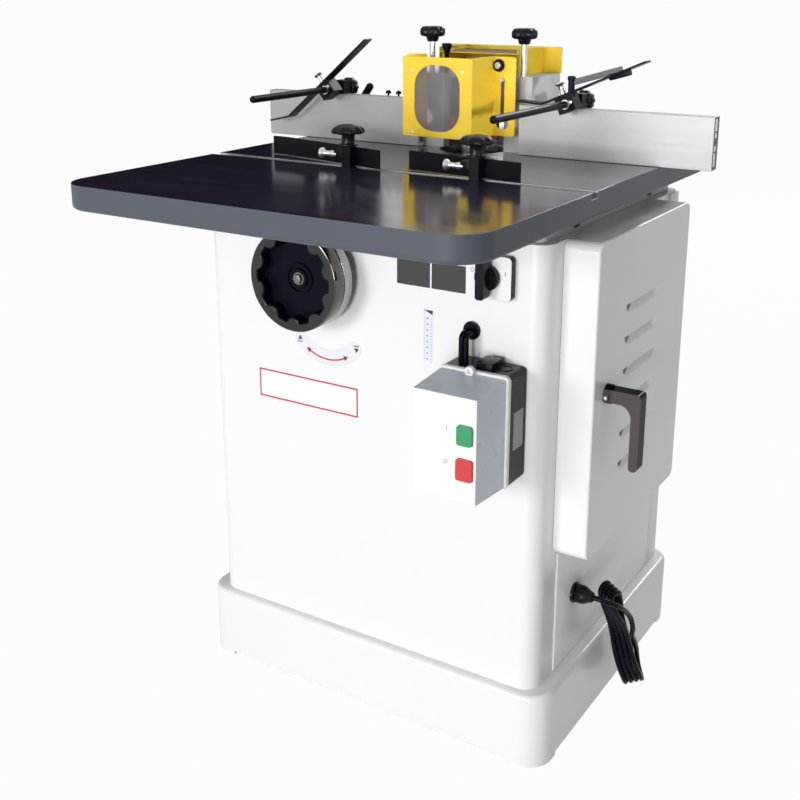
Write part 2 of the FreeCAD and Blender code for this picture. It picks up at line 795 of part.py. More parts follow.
def make_carriage():
    centre = V(0, SPINDLE_Y, QUILL_BOTTOM)
    quill = rod(QUILL_RADIUS, centre, UP, QUILL_TOP - QUILL_BOTTOM)
    body = block(-CARRIAGE_HALF, CARRIAGE_HALF, CARRIAGE_FRONT, CARRIAGE_BACK,
                 CARRIAGE_BOTTOM, CARRIAGE_TOP)
    nut_arm = block(WHEEL_X - NUT_ARM_HALF, -CARRIAGE_HALF, CARRIAGE_FRONT, NUT_ARM_BACK,
                    NUT_ARM_BOTTOM, NUT_ARM_TOP)
    plate = block(CARRIAGE_HALF, MOTOR_X + PLATE_MARGIN, MOTOR_Y - PLATE_MARGIN,
                  MOTOR_Y + PLATE_MARGIN, CARRIAGE_BOTTOM, MOTOR_BOTTOM)
    corners = [V(CARRIAGE_HALF, CARRIAGE_BACK, MOTOR_BOTTOM),
               V(CARRIAGE_HALF + GUSSET_REACH, CARRIAGE_BACK, MOTOR_BOTTOM),
               V(CARRIAGE_HALF, CARRIAGE_BACK, MOTOR_BOTTOM + GUSSET_TALL)]
    gusset = prism(corners, FRONT * GUSSET_THICK)
    whole = join(body, quill, nut_arm, plate, gusset)
    sink = BEARING_THICK + BEARING_SINK
    bore = rod(QUILL_BORE, centre + DOWN * OVER, UP, QUILL_TOP - QUILL_BOTTOM + 2 * OVER)
    seat_low = rod(BEARING_RADIUS, centre + DOWN * OVER, UP, sink + OVER)
    seat_high = rod(BEARING_RADIUS, V(0, SPINDLE_Y, QUILL_TOP - sink), UP, sink + OVER)
    clear = SLIDE_CLEAR
    way = block(-COLUMN_HEAD - clear, COLUMN_HEAD + clear, COLUMN_JAW - clear,
                COLUMN_JAW + COLUMN_HEAD_DEPTH + clear, 0, TABLE_BASE)
    mouth = block(-COLUMN_STEM - clear, COLUMN_STEM + clear, 0, COLUMN_JAW, 0, TABLE_BASE)
    nut_hole = rod(SCREW_RADIUS + RUN, V(WHEEL_X, SCREW_Y, 0), UP, TABLE_BASE)
    motor_hole = rod(MOTOR_HOLE, V(MOTOR_X, MOTOR_Y, 0), UP, TABLE_BASE)
    return less(whole, bore, seat_low, seat_high, way, mouth, nut_hole, motor_hole)


def make_spindle_bearings():
    low = V(0, SPINDLE_Y, QUILL_BOTTOM + BEARING_SINK)
    high = V(0, SPINDLE_Y, QUILL_TOP - BEARING_SINK - BEARING_THICK)
    return [ring(BEARING_RADIUS, SPINDLE_RADIUS + RUN, foot, UP, BEARING_THICK) for foot in (low, high)]


def make_spindle_shaft():
    foot = V(0, SPINDLE_Y, SPINDLE_BOTTOM)
    shaft = rod(SPINDLE_RADIUS, foot, UP, SHOULDER_Z - SPINDLE_BOTTOM)
    shoulder = rod(SHOULDER_RADIUS, V(0, SPINDLE_Y, SHOULDER_Z), UP, SHOULDER_THICK)
    arbor = rod(ARBOR_RADIUS, V(0, SPINDLE_Y, SHOULDER_Z), UP, ARBOR_TOP - SHOULDER_Z)
    return join(shaft, shoulder, arbor)


def make_spacer_collars():
    base = SHOULDER_Z + SHOULDER_THICK
    low = ring(COLLAR_RADIUS, ARBOR_RADIUS, V(0, SPINDLE_Y, base), UP, CUTTER_Z - base)
    top = CUTTER_Z + CUTTER_TALL
    high = ring(COLLAR_RADIUS, ARBOR_RADIUS, V(0, SPINDLE_Y, top), UP, NUT_Z - top)
    return [low, high]


def make_cutter_block():
    foot = V(0, SPINDLE_Y, CUTTER_Z)
    body = rod(CUTTER_BODY, foot, UP, CUTTER_TALL)
    tip = block(0, CUTTER_RADIUS, SPINDLE_Y, SPINDLE_Y + CUTTER_TIP_THICK, CUTTER_Z,
                CUTTER_Z + CUTTER_TALL)
    body = join(body, *around(tip, foot, UP, CUTTER_TIP_COUNT))
    return less(body, rod(ARBOR_RADIUS, foot + DOWN * OVER, UP, CUTTER_TALL + 2 * OVER))


def make_spindle_nut():
    corners = []
    for index in range(6):
        angle = math.radians(60 * index)
        corners.append(V(NUT_RADIUS * math.cos(angle), SPINDLE_Y + NUT_RADIUS * math.sin(angle), NUT_Z))
    nut = prism(corners, UP * NUT_TALL)
    return less(nut, rod(ARBOR_RADIUS, V(0, SPINDLE_Y, NUT_Z - OVER), UP, NUT_TALL + 2 * OVER))


def pulley(radius, bore, x, y):
    foot = V(x, y, PULLEY_Z)
    upper = V(x, y, PULLEY_Z + PULLEY_TALL - PULLEY_LIP)
    body = rod(radius, foot, UP, PULLEY_TALL)
    low_lip = rod(radius + PULLEY_LIP_STEP, foot, UP, PULLEY_LIP)
    high_lip = rod(radius + PULLEY_LIP_STEP, upper, UP, PULLEY_LIP)
    whole = join(body, low_lip, high_lip)
    return less(whole, rod(bore, foot + DOWN * OVER, UP, PULLEY_TALL + 2 * OVER))


def loop_slab(small, large, z, tall):
    reach = V(MOTOR_X, MOTOR_Y - SPINDLE_Y, 0)
    turn = math.degrees(math.atan2(reach.y, reach.x))
    lean = math.degrees(math.acos((small - large) / reach.Length))
    corners = []
    for centre, radius, side in ((V(0, SPINDLE_Y, z), small, 1), (V(MOTOR_X, MOTOR_Y, z), large, 1),
                                 (V(MOTOR_X, MOTOR_Y, z), large, -1), (V(0, SPINDLE_Y, z), small, -1)):
        angle = math.radians(turn + side * lean)
        corners.append(centre + V(math.cos(angle), math.sin(angle), 0) * radius)
    web = prism(corners, UP * tall)
    first = rod(small, V(0, SPINDLE_Y, z), UP, tall)
    second = rod(large, V(MOTOR_X, MOTOR_Y, z), UP, tall)
    return join(web, first, second)


def make_drive_belt():
    low = PULLEY_Z + PULLEY_LIP + GAP
    tall = PULLEY_TALL - 2 * PULLEY_LIP - 2 * GAP
    outer = loop_slab(SPINDLE_PULLEY + GAP + BELT_THICK, MOTOR_PULLEY + GAP + BELT_THICK, low, tall)
    inner = loop_slab(SPINDLE_PULLEY + GAP, MOTOR_PULLEY + GAP, low - OVER, tall + 2 * OVER)
    return less(outer, inner)


def make_motor():
    foot = V(MOTOR_X, MOTOR_Y, MOTOR_BOTTOM)
    flange = rod(MOTOR_FLANGE, foot, UP, MOTOR_FLANGE_THICK)
    body = rod(MOTOR_RADIUS, foot, UP, MOTOR_TALL)
    cap = rod(MOTOR_RADIUS + MOTOR_FIN, V(MOTOR_X, MOTOR_Y, MOTOR_TOP - MOTOR_CAP), UP, MOTOR_CAP)
    half = MOTOR_FIN_THICK / 2
    fin = block(MOTOR_X, MOTOR_X + MOTOR_RADIUS + MOTOR_FIN, MOTOR_Y - half, MOTOR_Y + half,
                MOTOR_BOTTOM, MOTOR_TOP - MOTOR_CAP)
    whole = join(body, flange, cap, *around(fin, foot, UP, MOTOR_FIN_COUNT))
    return less(whole, rod(MOTOR_SHAFT + RUN, foot + DOWN * OVER, UP, MOTOR_SHAFT_DEPTH + OVER))


def make_motor_shaft():
    length = MOTOR_BOTTOM + MOTOR_SHAFT_DEPTH - GAP - PULLEY_Z
    return rod(MOTOR_SHAFT, V(MOTOR_X, MOTOR_Y, PULLEY_Z), UP, length)


def bevel(apex, axis):
    back = apex - axis * BEVEL_PITCH
    return cone(BEVEL_PITCH - GAP, BEVEL_PITCH - BEVEL_FACE - GAP, back, axis, BEVEL_FACE)


def make_lead_screw():
    hub_z = BRACKET_LOW + BRACKET_ARM_THICK + GAP
    gear_z = WHEEL_Z - BEVEL_PITCH
    screw = rod(SCREW_RADIUS, V(WHEEL_X, SCREW_Y, SCREW_BOTTOM), UP, gear_z - SCREW_BOTTOM)
    hub = rod(BEVEL_HUB, V(WHEEL_X, SCREW_Y, hub_z), UP, gear_z - hub_z)
    return join(screw, hub, bevel(V(WHEEL_X, SCREW_Y, WHEEL_Z), UP))


def make_wheel_shaft():
    start = WHEEL_FACE + CUP_DEPTH
    gear_y = SCREW_Y - BEVEL_PITCH
    hub_y = COLUMN_FACE + GAP
    shaft = rod(WHEEL_SHAFT, V(WHEEL_X, start, WHEEL_Z), BACK, gear_y - start)
    hub = rod(BEVEL_HUB, V(WHEEL_X, hub_y, WHEEL_Z), BACK, gear_y - hub_y)
    return join(shaft, hub, bevel(V(WHEEL_X, SCREW_Y, WHEEL_Z), BACK))


def make_wheel_bush():
    front = V(WHEEL_X, CABINET_FRONT - BUSH_FLANGE_THICK, WHEEL_Z)
    flange = rod(BUSH_FLANGE, front, BACK, BUSH_FLANGE_THICK)
    barrel = rod(BUSH_BARREL, front, BACK, BUSH_LENGTH)
    hole = rod(WHEEL_SHAFT + RUN, front + FRONT * OVER, BACK, BUSH_LENGTH + 2 * OVER)
    return less(join(flange, barrel), hole)


def lobed(radius, notch, foot, depth):
    cut = rod(notch, foot + UP * CUP_NOTCH_REACH + FRONT * OVER, BACK, depth + 2 * OVER)
    return less(rod(radius, foot, BACK, depth), *around(cut, foot, BACK, CUP_NOTCH_COUNT))


def make_hand_wheel():
    face = V(WHEEL_X, WHEEL_FACE, WHEEL_Z)
    body = rod(WHEEL_RADIUS, face, BACK, WHEEL_DEPTH)
    recess = lobed(CUP_RADIUS, CUP_NOTCH, face + FRONT * OVER, CUP_DEPTH + OVER)
    web_back = WHEEL_FACE + CUP_DEPTH + WHEEL_WEB
    hollow = ring(WHEEL_RADIUS - WHEEL_RIM, WHEEL_HUB, V(WHEEL_X, web_back, WHEEL_Z), BACK,
                  WHEEL_BACK - web_back + OVER)
    groove_y = WHEEL_BACK - WHEEL_BACK_BAND - WHEEL_GROOVE_WIDTH
    groove = ring(WHEEL_RADIUS + OVER, WHEEL_RADIUS - WHEEL_GROOVE, V(WHEEL_X, groove_y, WHEEL_Z),
                  BACK, WHEEL_GROOVE_WIDTH)
    bore = rod(WHEEL_SHAFT, face, BACK, WHEEL_DEPTH + OVER)
    return less(body, recess, hollow, groove, bore)


def make_wheel_cup():
    lip = V(WHEEL_X, WHEEL_FACE + CUP_SINK, WHEEL_Z)
    floor = V(WHEEL_X, WHEEL_FACE + CUP_DEPTH - CUP_FLOOR, WHEEL_Z)
    body = lobed(CUP_RADIUS, CUP_NOTCH, lip, CUP_DEPTH - CUP_SINK)
    room = lobed(CUP_RADIUS - CUP_WALL, CUP_NOTCH + CUP_WALL, lip + FRONT * OVER,
                 floor.y - lip.y + OVER)
    boss = rod(CUP_BOSS, floor, FRONT, CUP_BOSS_TALL)
    dish = rod(CUP_DISH, floor + FRONT * (CUP_BOSS_TALL - CUP_DISH_DEPTH), FRONT, CUP_DISH_DEPTH + OVER)
    return less(join(less(body, room), boss), dish)


# Electrics

def make_starter_base():
    half = STARTER_WIDTH / 2
    body = block(STARTER_X - half, STARTER_X + half, COVER_BACK, CABINET_FRONT, STARTER_BOTTOM,
                 STARTER_BOTTOM + STARTER_HEIGHT)
    return rounded(body, STARTER_CORNER, BACK)


def plate_wire(half, y, low, high):
    corners = [V(STARTER_X - half, y, low), V(STARTER_X + half, y, low),
               V(STARTER_X + half, y, high), V(STARTER_X - half, y, high)]
    return Part.makePolygon(corners + [corners[0]])


def button_block(z, width, height, front, back, grow):
    half = width / 2 + grow
    tall = height / 2 + grow
    body = block(BUTTON_X - half, BUTTON_X + half, front, back, z - tall, z + tall)
    return rounded(body, BUTTON_CORNER, BACK)


def make_starter_cover():
    half = STARTER_WIDTH / 2
    rim_y = COVER_BACK - COVER_RIM
    high = STARTER_BOTTOM + STARTER_HEIGHT
    rim = block(STARTER_X - half, STARTER_X + half, rim_y, COVER_BACK, STARTER_BOTTOM, high)
    rim = rounded(rim, STARTER_CORNER, BACK)
    base = plate_wire(half - COVER_LEDGE, rim_y, STARTER_BOTTOM + COVER_LEDGE, high - COVER_LEDGE)
    low = STARTER_BOTTOM + COVER_FACE_LOW
    face = plate_wire(COVER_FACE_WIDTH / 2, COVER_FACE, low, low + COVER_FACE_HEIGHT)
    dome = Part.makeLoft([base, face], True, True)
    dome = dome.makeFillet(COVER_ROUND, edges_on(dome, BACK, COVER_FACE))
    cavity = block(STARTER_X - COVER_CAVITY_HALF, STARTER_X + COVER_CAVITY_HALF,
                   COVER_FACE + COVER_WALL, COVER_BACK + OVER, STARTER_BOTTOM + COVER_CAVITY_LOW,
                   STARTER_BOTTOM + COVER_CAVITY_HIGH)
    front = COVER_FACE - OVER
    back = COVER_FACE + COVER_WALL + OVER
    start_hole = button_block(START_Z, START_WIDTH, START_HEIGHT, front, back, GAP)
    stop_hole = button_block(STOP_Z, STOP_WIDTH, STOP_HEIGHT, front, back, GAP)
    return less(join(rim, dome), cavity, start_hole, stop_hole)


def make_button(z, width, height):
    front = COVER_FACE - BUTTON_PROUD
    lip_y = COVER_FACE + COVER_WALL
    cap = button_block(z, width, height, front, front + BUTTON_LENGTH, 0)
    lip = button_block(z, width, height, lip_y, lip_y + BUTTON_LIP_THICK, BUTTON_LIP)
    return join(cap, lip)


def make_cable_grommet():
    front = V(GROMMET_X, CABINET_FRONT - GROMMET_THICK, GROMMET_Z)
    flange = rod(GROMMET_RADIUS, front, BACK, GROMMET_THICK)
    return join(flange, rod(GROMMET_BARREL, front, BACK, GROMMET_DEPTH))


def cable_points(side):
    x = GROMMET_X + side * CABLE_APART / 2
    drop_y = CABINET_FRONT - STARTER_BASE / 2
    return [V(x, CABINET_FRONT - GROMMET_THICK, GROMMET_Z), V(x, drop_y, GROMMET_Z),
            V(x, drop_y, STARTER_BOTTOM + STARTER_HEIGHT)]


def make_switch_body():
    wide = SWITCH_WIDTH / 2
    tall = SWITCH_HEIGHT / 2
    body = block(SWITCH_X - wide, SWITCH_X + wide, CABINET_FRONT - SWITCH_DEPTH, CABINET_FRONT,
                 SWITCH_Z - tall, SWITCH_Z + tall)
    body = rounded(body, SWITCH_CORNER, BACK)
    hole = rod(SWITCH_STEM + RUN, V(SWITCH_X, CABINET_FRONT - SWITCH_DEPTH - OVER, SWITCH_Z), BACK,
               SWITCH_STEM_DEPTH + GAP + OVER)
    return less(body, hole)


def make_switch_knob():
    back = CABINET_FRONT - SWITCH_DEPTH - GAP
    dial = rod(SWITCH_DIAL, V(SWITCH_X, back, SWITCH_Z), FRONT, SWITCH_DIAL_THICK)
    half = SWITCH_BAR / 2
    long = SWITCH_BAR_LENGTH / 2
    bar = block(SWITCH_X - half, SWITCH_X + half, back - SWITCH_DIAL_THICK - SWITCH_BAR_THICK,
                back - SWITCH_DIAL_THICK, SWITCH_Z - long, SWITCH_Z + long)
    bar = rounded(bar, SWITCH_BAR / 3, BACK)
    stem = rod(SWITCH_STEM, V(SWITCH_X, back, SWITCH_Z), BACK, SWITCH_STEM_DEPTH)
    return join(dial, bar, stem)


# Motor door

def door_box(grow):
    body = block(DOOR_INNER, DOOR_FACE + grow, DOOR_FRONT - grow, DOOR_BACK + grow,
                 DOOR_BOTTOM - grow, CABINET_TOP + grow)
    body = rounded(body, DOOR_CORNER + grow, RIGHT)
    return body.makeFillet(DOOR_ROUND + grow, edges_on(body, RIGHT, DOOR_FACE + grow))


def capsule(radius, z):
    front = V(DOOR_FACE + LOUVRE_OUT, LOUVRE_FRONT + LOUVRE_END, z)
    back = V(DOOR_FACE + LOUVRE_OUT, LOUVRE_BACK - LOUVRE_END, z)
    return join(rod(radius, front, BACK, back.y - front.y), ball(radius, front), ball(radius, back))


def make_motor_door():
    shell = less(door_box(0), door_box(-DOOR_SHEET).translated(LEFT * OVER), door_box(-DOOR_SHEET))
    scoops = []
    slots = []
    for index in range(LOUVRE_COUNT):
        z = LOUVRE_LOW + index * LOUVRE_STEP
        outer = capsule(LOUVRE_RADIUS, z)
        inner = capsule(LOUVRE_RADIUS - LOUVRE_SHEET, z)
        lower = block(DOOR_FACE - LOUVRE_RADIUS, DOOR_FACE, LOUVRE_FRONT - LOUVRE_END,
                      LOUVRE_BACK + LOUVRE_END, z - 2 * LOUVRE_RADIUS, z)
        scoops.append(less(outer.common(lower), inner))
        slots.append(inner.common(lower))
    latch_hole = rod(LATCH_SPINDLE + RUN, V(DOOR_FACE - LATCH_INNER, LATCH_Y, LATCH_Z), RIGHT,
                     LATCH_INNER + OVER)
    shell = less(shell, latch_hole, *slots)
    tabs = []
    for z in (HINGE_LOW, HINGE_HIGH):
        foot = V(HINGE_X, HINGE_Y, z + GAP)
        tall = HINGE_TALL / 2 - GAP
        barrel = rod(HINGE_RADIUS, foot, UP, tall)
        tab = block(HINGE_X - HINGE_TAB / 2, HINGE_X + HINGE_TAB / 2, DOOR_BACK - DOOR_SHEET, HINGE_Y,
                    z + GAP, z + GAP + tall)
        hole = rod(HINGE_PIN + RUN, foot + DOWN * OVER, UP, tall + 2 * OVER)
        tabs.append(less(join(barrel, tab), hole))
    return join(shell, *(scoops + tabs))


def make_door_hinges():
    hinges = []
    for z in (HINGE_LOW, HINGE_HIGH):
        low = z - HINGE_TALL / 2
        foot = V(HINGE_X, HINGE_Y, low)
        barrel = rod(HINGE_RADIUS, foot, UP, HINGE_TALL / 2)
        pin = rod(HINGE_PIN, foot, UP, HINGE_TALL)
        leaf = block(CABINET_SIDE, CABINET_SIDE + HINGE_LEAF_THICK, HINGE_Y, HINGE_Y + HINGE_LEAF, low,
                     low + HINGE_TALL)
        web = block(CABINET_SIDE, HINGE_X, HINGE_Y, HINGE_Y + HINGE_RADIUS, low, low + HINGE_TALL / 2)
        hinges.append(join(barrel, pin, leaf, web))
    return hinges


def make_door_latch():
    centre = V(DOOR_FACE, LATCH_Y, LATCH_Z)
    spindle = rod(LATCH_SPINDLE, centre + LEFT * LATCH_INNER, RIGHT, LATCH_INNER + LATCH_BOSS_THICK)
    boss = rod(LATCH_BOSS, centre + RIGHT * GAP, RIGHT, LATCH_BOSS_THICK)
    side = LATCH_WIDE / 2
    end = DOOR_FACE + LATCH_REACH
    top = LATCH_Z + LATCH_NECK / 2
    neck = block(DOOR_FACE + GAP, end, LATCH_Y - side, LATCH_Y + side, top - LATCH_NECK, top)
    grip = block(end - LATCH_GRIP, end, LATCH_Y - side, LATCH_Y + side, top - LATCH_LENGTH, top)
    lever = rounded(join(neck, grip), LATCH_ROUND, BACK)
    elbow = V(end - LATCH_GRIP, LATCH_Y - side, top - LATCH_NECK)
    hollow = elbow + LEFT * LATCH_CURVE + DOWN * LATCH_CURVE
    web = block(hollow.x, elbow.x, elbow.y, elbow.y + LATCH_WIDE, hollow.z, elbow.z)
    web = less(web, rod(LATCH_CURVE, hollow, BACK, LATCH_WIDE))
    half = LATCH_TONGUE_WIDTH / 2
    tip = DOOR_FACE - LATCH_INNER
    tongue = block(tip, tip + LATCH_TONGUE_THICK, LATCH_Y - half, LATCH_Y + half,
                   LATCH_Z - LATCH_TONGUE_LENGTH, LATCH_Z + half)
    return join(lever, web, boss, spindle, tongue)


# Fence

def make_board():
    y0 = FENCE_FACE
    y1 = FENCE_FACE + BOARD_THICK
    body = block(BOARD_INNER, BOARD_INNER + BOARD_LENGTH, y0, y1, BOARD_BASE, BOARD_TOP)
    start = BOARD_INNER - OVER
    end = BOARD_INNER + BOARD_LENGTH + OVER
    mouth_y = y1 - BOARD_MOUTH_DEPTH
    half = BOARD_MOUTH / 2
    wide = BOARD_SLOT / 2
    mouth = block(start, end, mouth_y, y1 + OVER, BOARD_MIDDLE - half, BOARD_MIDDLE + half)
    slot = block(start, end, mouth_y - BOARD_SLOT_DEPTH, mouth_y, BOARD_MIDDLE - wide,
                 BOARD_MIDDLE + wide)
    wall = BOARD_WALL
    gap = wide + wall
    low = block(start, end, y0 + wall, y1 - wall, BOARD_BASE + wall, BOARD_MIDDLE - gap)
    high = block(start, end, y0 + wall, y1 - wall, BOARD_MIDDLE + gap, BOARD_TOP - wall)
    return less(body, mouth, slot, low, high)


def make_fence_housing():
    y0 = FENCE_REAR
    y1 = y0 + HOUSING_DEPTH
    wall = HOUSING_WALL
    body = block(-HOUSING_HALF, HOUSING_HALF, y0, y1, TABLE_TOP, HOUSING_TOP)
    inner = HOUSING_HALF - wall
    room = block(-inner, inner, y0 + HOUSING_FRONT, y1 - wall, 0, HOUSING_TOP - HOUSING_ROOF)
    mouth = block(-HOUSING_MOUTH, HOUSING_MOUTH, 0, y1 - wall, 0, HOUSING_TOP + OVER)
    port = V(0, y1 - wall, PORT_Z)
    pipe = rod(PORT_RADIUS + PORT_WALL, port, BACK, PORT_LENGTH + wall)
    bore = rod(PORT_RADIUS, port + FRONT * OVER, BACK, PORT_LENGTH + wall + 2 * OVER)
    body = less(join(body, pipe), room, mouth, bore)
    extras = []
    cuts = []
    for side in (RIGHT, LEFT):
        x0 = HOUSING_HALF if side is RIGHT else -WING_END
        x1 = WING_END if side is RIGHT else -HOUSING_HALF
        extras.append(block(x0, x1, y0, y0 + WING_THICK, TABLE_TOP, WING_TOP))
        extras.append(block(x0, x1, y0, y0 + BASE_DEPTH, TABLE_TOP, TABLE_TOP + BASE_THICK))
        half = BASE_SLOT / 2
        middle = BASE_SLOT_X * side.x
        slot_y = y0 + WING_THICK + BASE_DEPTH / 2
        long = BASE_SLOT_LENGTH / 2
        cuts.append(block(middle - half, middle + half, slot_y - long, slot_y + long, 0, HOUSING_TOP))
        bolt = V(LEVER_X * side.x, y0 - OVER, BOARD_MIDDLE)
        cuts.append(rod(LEVER_BOLT + RUN, bolt, BACK, WING_THICK + 2 * OVER))
        stem = V(KNOB_X * side.x, y0 + HOUSING_FRONT / 2, HOUSING_TOP - KNOB_STEM_DEPTH - GAP)
        cuts.append(rod(KNOB_STEM + RUN, stem, UP, KNOB_STEM_DEPTH + GAP + OVER))
    stud_y = FENCE_FACE - GUARD_CLEAR - GUARD_SHEET - STUD_REACH
    for x in guard_slots():
        foot = V(x, stud_y, GUARD_SLOT_HIGH - GUARD_SLOT_WIDTH / 2)
        extras.append(rod(STUD_RADIUS, foot, BACK, y0 - stud_y + OVER))
    return less(join(body, *extras), *cuts)


def make_rear_hood():
    y0 = FENCE_REAR + HOOD_FRONT_GAP
    y1 = FENCE_REAR + HOUSING_DEPTH
    sheet = HOOD_SHEET
    half = HOOD_HALF
    roof = HOOD_TOP - HOOD_ROOF_DROP
    left = block(-half, -half + sheet, y0, y1, HOUSING_TOP, HOOD_TOP)
    right = block(half - sheet, half, y0, y1, HOUSING_TOP, HOOD_TOP)
    flange = HOOD_FLANGE
    rear = block(-half - flange, half + flange, y1 - sheet, y1, HOUSING_TOP, HOOD_TOP)
    top = block(-half, half, y0, y1, roof - sheet, roof)
    return join(left, right, rear, top)


def knob_place(side):
    return V(KNOB_X * side, FENCE_REAR + HOUSING_FRONT / 2, 0)


def make_fence_knob(side):
    place = knob_place(side)
    low = HOUSING_TOP - KNOB_STEM_DEPTH
    stem = rod(KNOB_STEM, place + UP * low, UP, KNOB_Z - low)
    hub = rod(KNOB_HUB, place + UP * KNOB_HUB_Z, UP, KNOB_Z - KNOB_HUB_Z)
    grip = fluted(KNOB_RADIUS, KNOB_FLUTE, KNOB_FLUTE_COUNT, place + UP * KNOB_Z, UP, RIGHT,
                  KNOB_TOP - KNOB_Z)
    return join(stem, hub, grip)


# Guard

def guard_slots():
    return [GUARD_LEFT - GUARD_SLOT_OFF, GUARD_RIGHT + GUARD_SLOT_OFF]


def guard_ear(inner, outer):
    back = FENCE_FACE - GUARD_CLEAR
    ear = block(min(inner, outer), max(inner, outer), back - GUARD_SHEET, back, GUARD_BOTTOM, GUARD_TOP)
    corners = [edge for edge in straight_edges(ear, BACK) if abs(edge.Vertexes[0].X - outer) < RUN]
    return ear.makeFillet(GUARD_CORNER, corners)


def make_front_guard():
    sheet = GUARD_SHEET
    back = FENCE_FACE - GUARD_CLEAR
    front = FENCE_FACE - GUARD_REACH
    face = block(GUARD_LEFT, GUARD_RIGHT, front, front + sheet, GUARD_BOTTOM, GUARD_TOP)
    left = block(GUARD_LEFT, GUARD_LEFT + sheet, front, back, GUARD_BOTTOM, GUARD_TOP)
    right = block(GUARD_RIGHT - sheet, GUARD_RIGHT, front, back, GUARD_BOTTOM, GUARD_TOP)
    roof = GUARD_TOP - GUARD_ROOF_DROP
    top = block(GUARD_LEFT, GUARD_RIGHT, front, back, roof - sheet, roof)
    ear_left = guard_ear(GUARD_LEFT + sheet, GUARD_LEFT - GUARD_FLANGE)
    ear_right = guard_ear(GUARD_RIGHT - sheet, GUARD_RIGHT + GUARD_FLANGE)
    middle = (GUARD_LEFT + GUARD_RIGHT) / 2
    half = WINDOW_WIDTH / 2
    window = block(middle - half, middle + half, front - OVER, front + sheet + OVER, WINDOW_Z,
                   WINDOW_Z + WINDOW_HEIGHT)
    cuts = [rounded(window, WINDOW_CORNER, BACK)]
    tall = GUARD_SLOT_HIGH - GUARD_SLOT_LOW
    depth = sheet + 2 * OVER
    for x in guard_slots():
        cuts.append(stadium(GUARD_SLOT_WIDTH, tall, x, back - sheet - OVER, GUARD_SLOT_LOW, depth))
        eye = V(x, back - sheet - OVER, GUARD_SLOT_LOW + GUARD_EYE)
        cuts.append(rod(GUARD_EYE, eye, BACK, depth))
    return less(join(face, left, right, top, ear_left, ear_right), *cuts)


def make_guard_window():
    front = FENCE_FACE - GUARD_REACH + GUARD_SHEET
    middle = (GUARD_LEFT + GUARD_RIGHT) / 2
    half = WINDOW_WIDTH / 2 + PANE_MARGIN
    return block(middle - half, middle + half, front, front + PANE_THICK, WINDOW_Z - PANE_MARGIN,
                 GUARD_TOP - GUARD_ROOF_DROP - GUARD_SHEET)


# Hold-downs

def make_hold_down_rod(x, reach):
    bracket = block(x - BRACKET_HALF, x + BRACKET_HALF, FENCE_FACE + BRACKET_FRONT,
                    FENCE_FACE + BRACKET_BACK, BOARD_TOP, BOARD_TOP + BRACKET_HEIGHT)
    tip = FENCE_FACE - reach
    bar = rod(ROD_RADIUS, V(x, tip, ROD_Z), BACK, reach + BRACKET_FRONT + OVER)
    body = join(bracket, bar)
    back = FENCE_FACE + BRACKET_BACK
    depth = ROD_KNOB_DEPTH + GAP
    hole = rod(ROD_KNOB_STEM + RUN, V(x, back - depth, ROD_Z), BACK, depth + OVER)
    return less(body, hole)


def spring_profile(x, up, down, degrees):
    angle = math.radians(degrees)
    run = V(math.cos(angle), 0, math.sin(angle))
    rise = V(-math.sin(angle), 0, math.cos(angle))
    low = math.radians(degrees - SPRING_BEND_DEG)
    tip_run = V(math.cos(low), 0, math.sin(low))
    tip_rise = V(-math.sin(low), 0, math.cos(low))
    base = V(x, FENCE_FACE - CLAMP_SETBACK - SPRING_WIDE / 2, ROD_Z) + rise * SPRING_OFFSET
    top = base + run * up
    bend = base - run * down
    tip = bend - tip_run * SPRING_TIP
    half = math.radians(SPRING_BEND_DEG / 2)
    middle = rise + tip_rise
    middle.normalize()
    over = SPRING_THICK / math.cos(half)
    return [top, top + rise * SPRING_THICK, bend + middle * over, tip + tip_rise * SPRING_THICK, tip, bend]


def make_hold_down_spring(x, up, down, degrees):
    return prism(spring_profile(x, up, down, degrees), BACK * SPRING_WIDE)


def make_hold_down_clamp(x, degrees):
    half = CLAMP_HALF
    y0 = FENCE_FACE - CLAMP_SETBACK - CLAMP_DEPTH / 2
    body = block(x - half, x + half, y0, y0 + CLAMP_DEPTH, ROD_Z - CLAMP_DROP, ROD_Z + SPRING_OFFSET)
    centre = V(x, y0, ROD_Z)
    body = turned(body, centre, FRONT, degrees)
    hole = rod(ROD_RADIUS + RUN, centre + FRONT * OVER, BACK, CLAMP_DEPTH + 2 * OVER)
    return less(body, hole)


def make_hold_down_knob(x):
    back = FENCE_FACE + BRACKET_BACK
    place = V(x, back + GAP, ROD_Z)
    grip = fluted(ROD_KNOB_RADIUS, ROD_KNOB_FLUTE, KNOB_FLUTE_COUNT, place, BACK, UP, ROD_KNOB_THICK)
    stem = rod(ROD_KNOB_STEM, V(x, back - ROD_KNOB_DEPTH, ROD_Z), BACK, ROD_KNOB_DEPTH + GAP)
    return join(grip, stem)


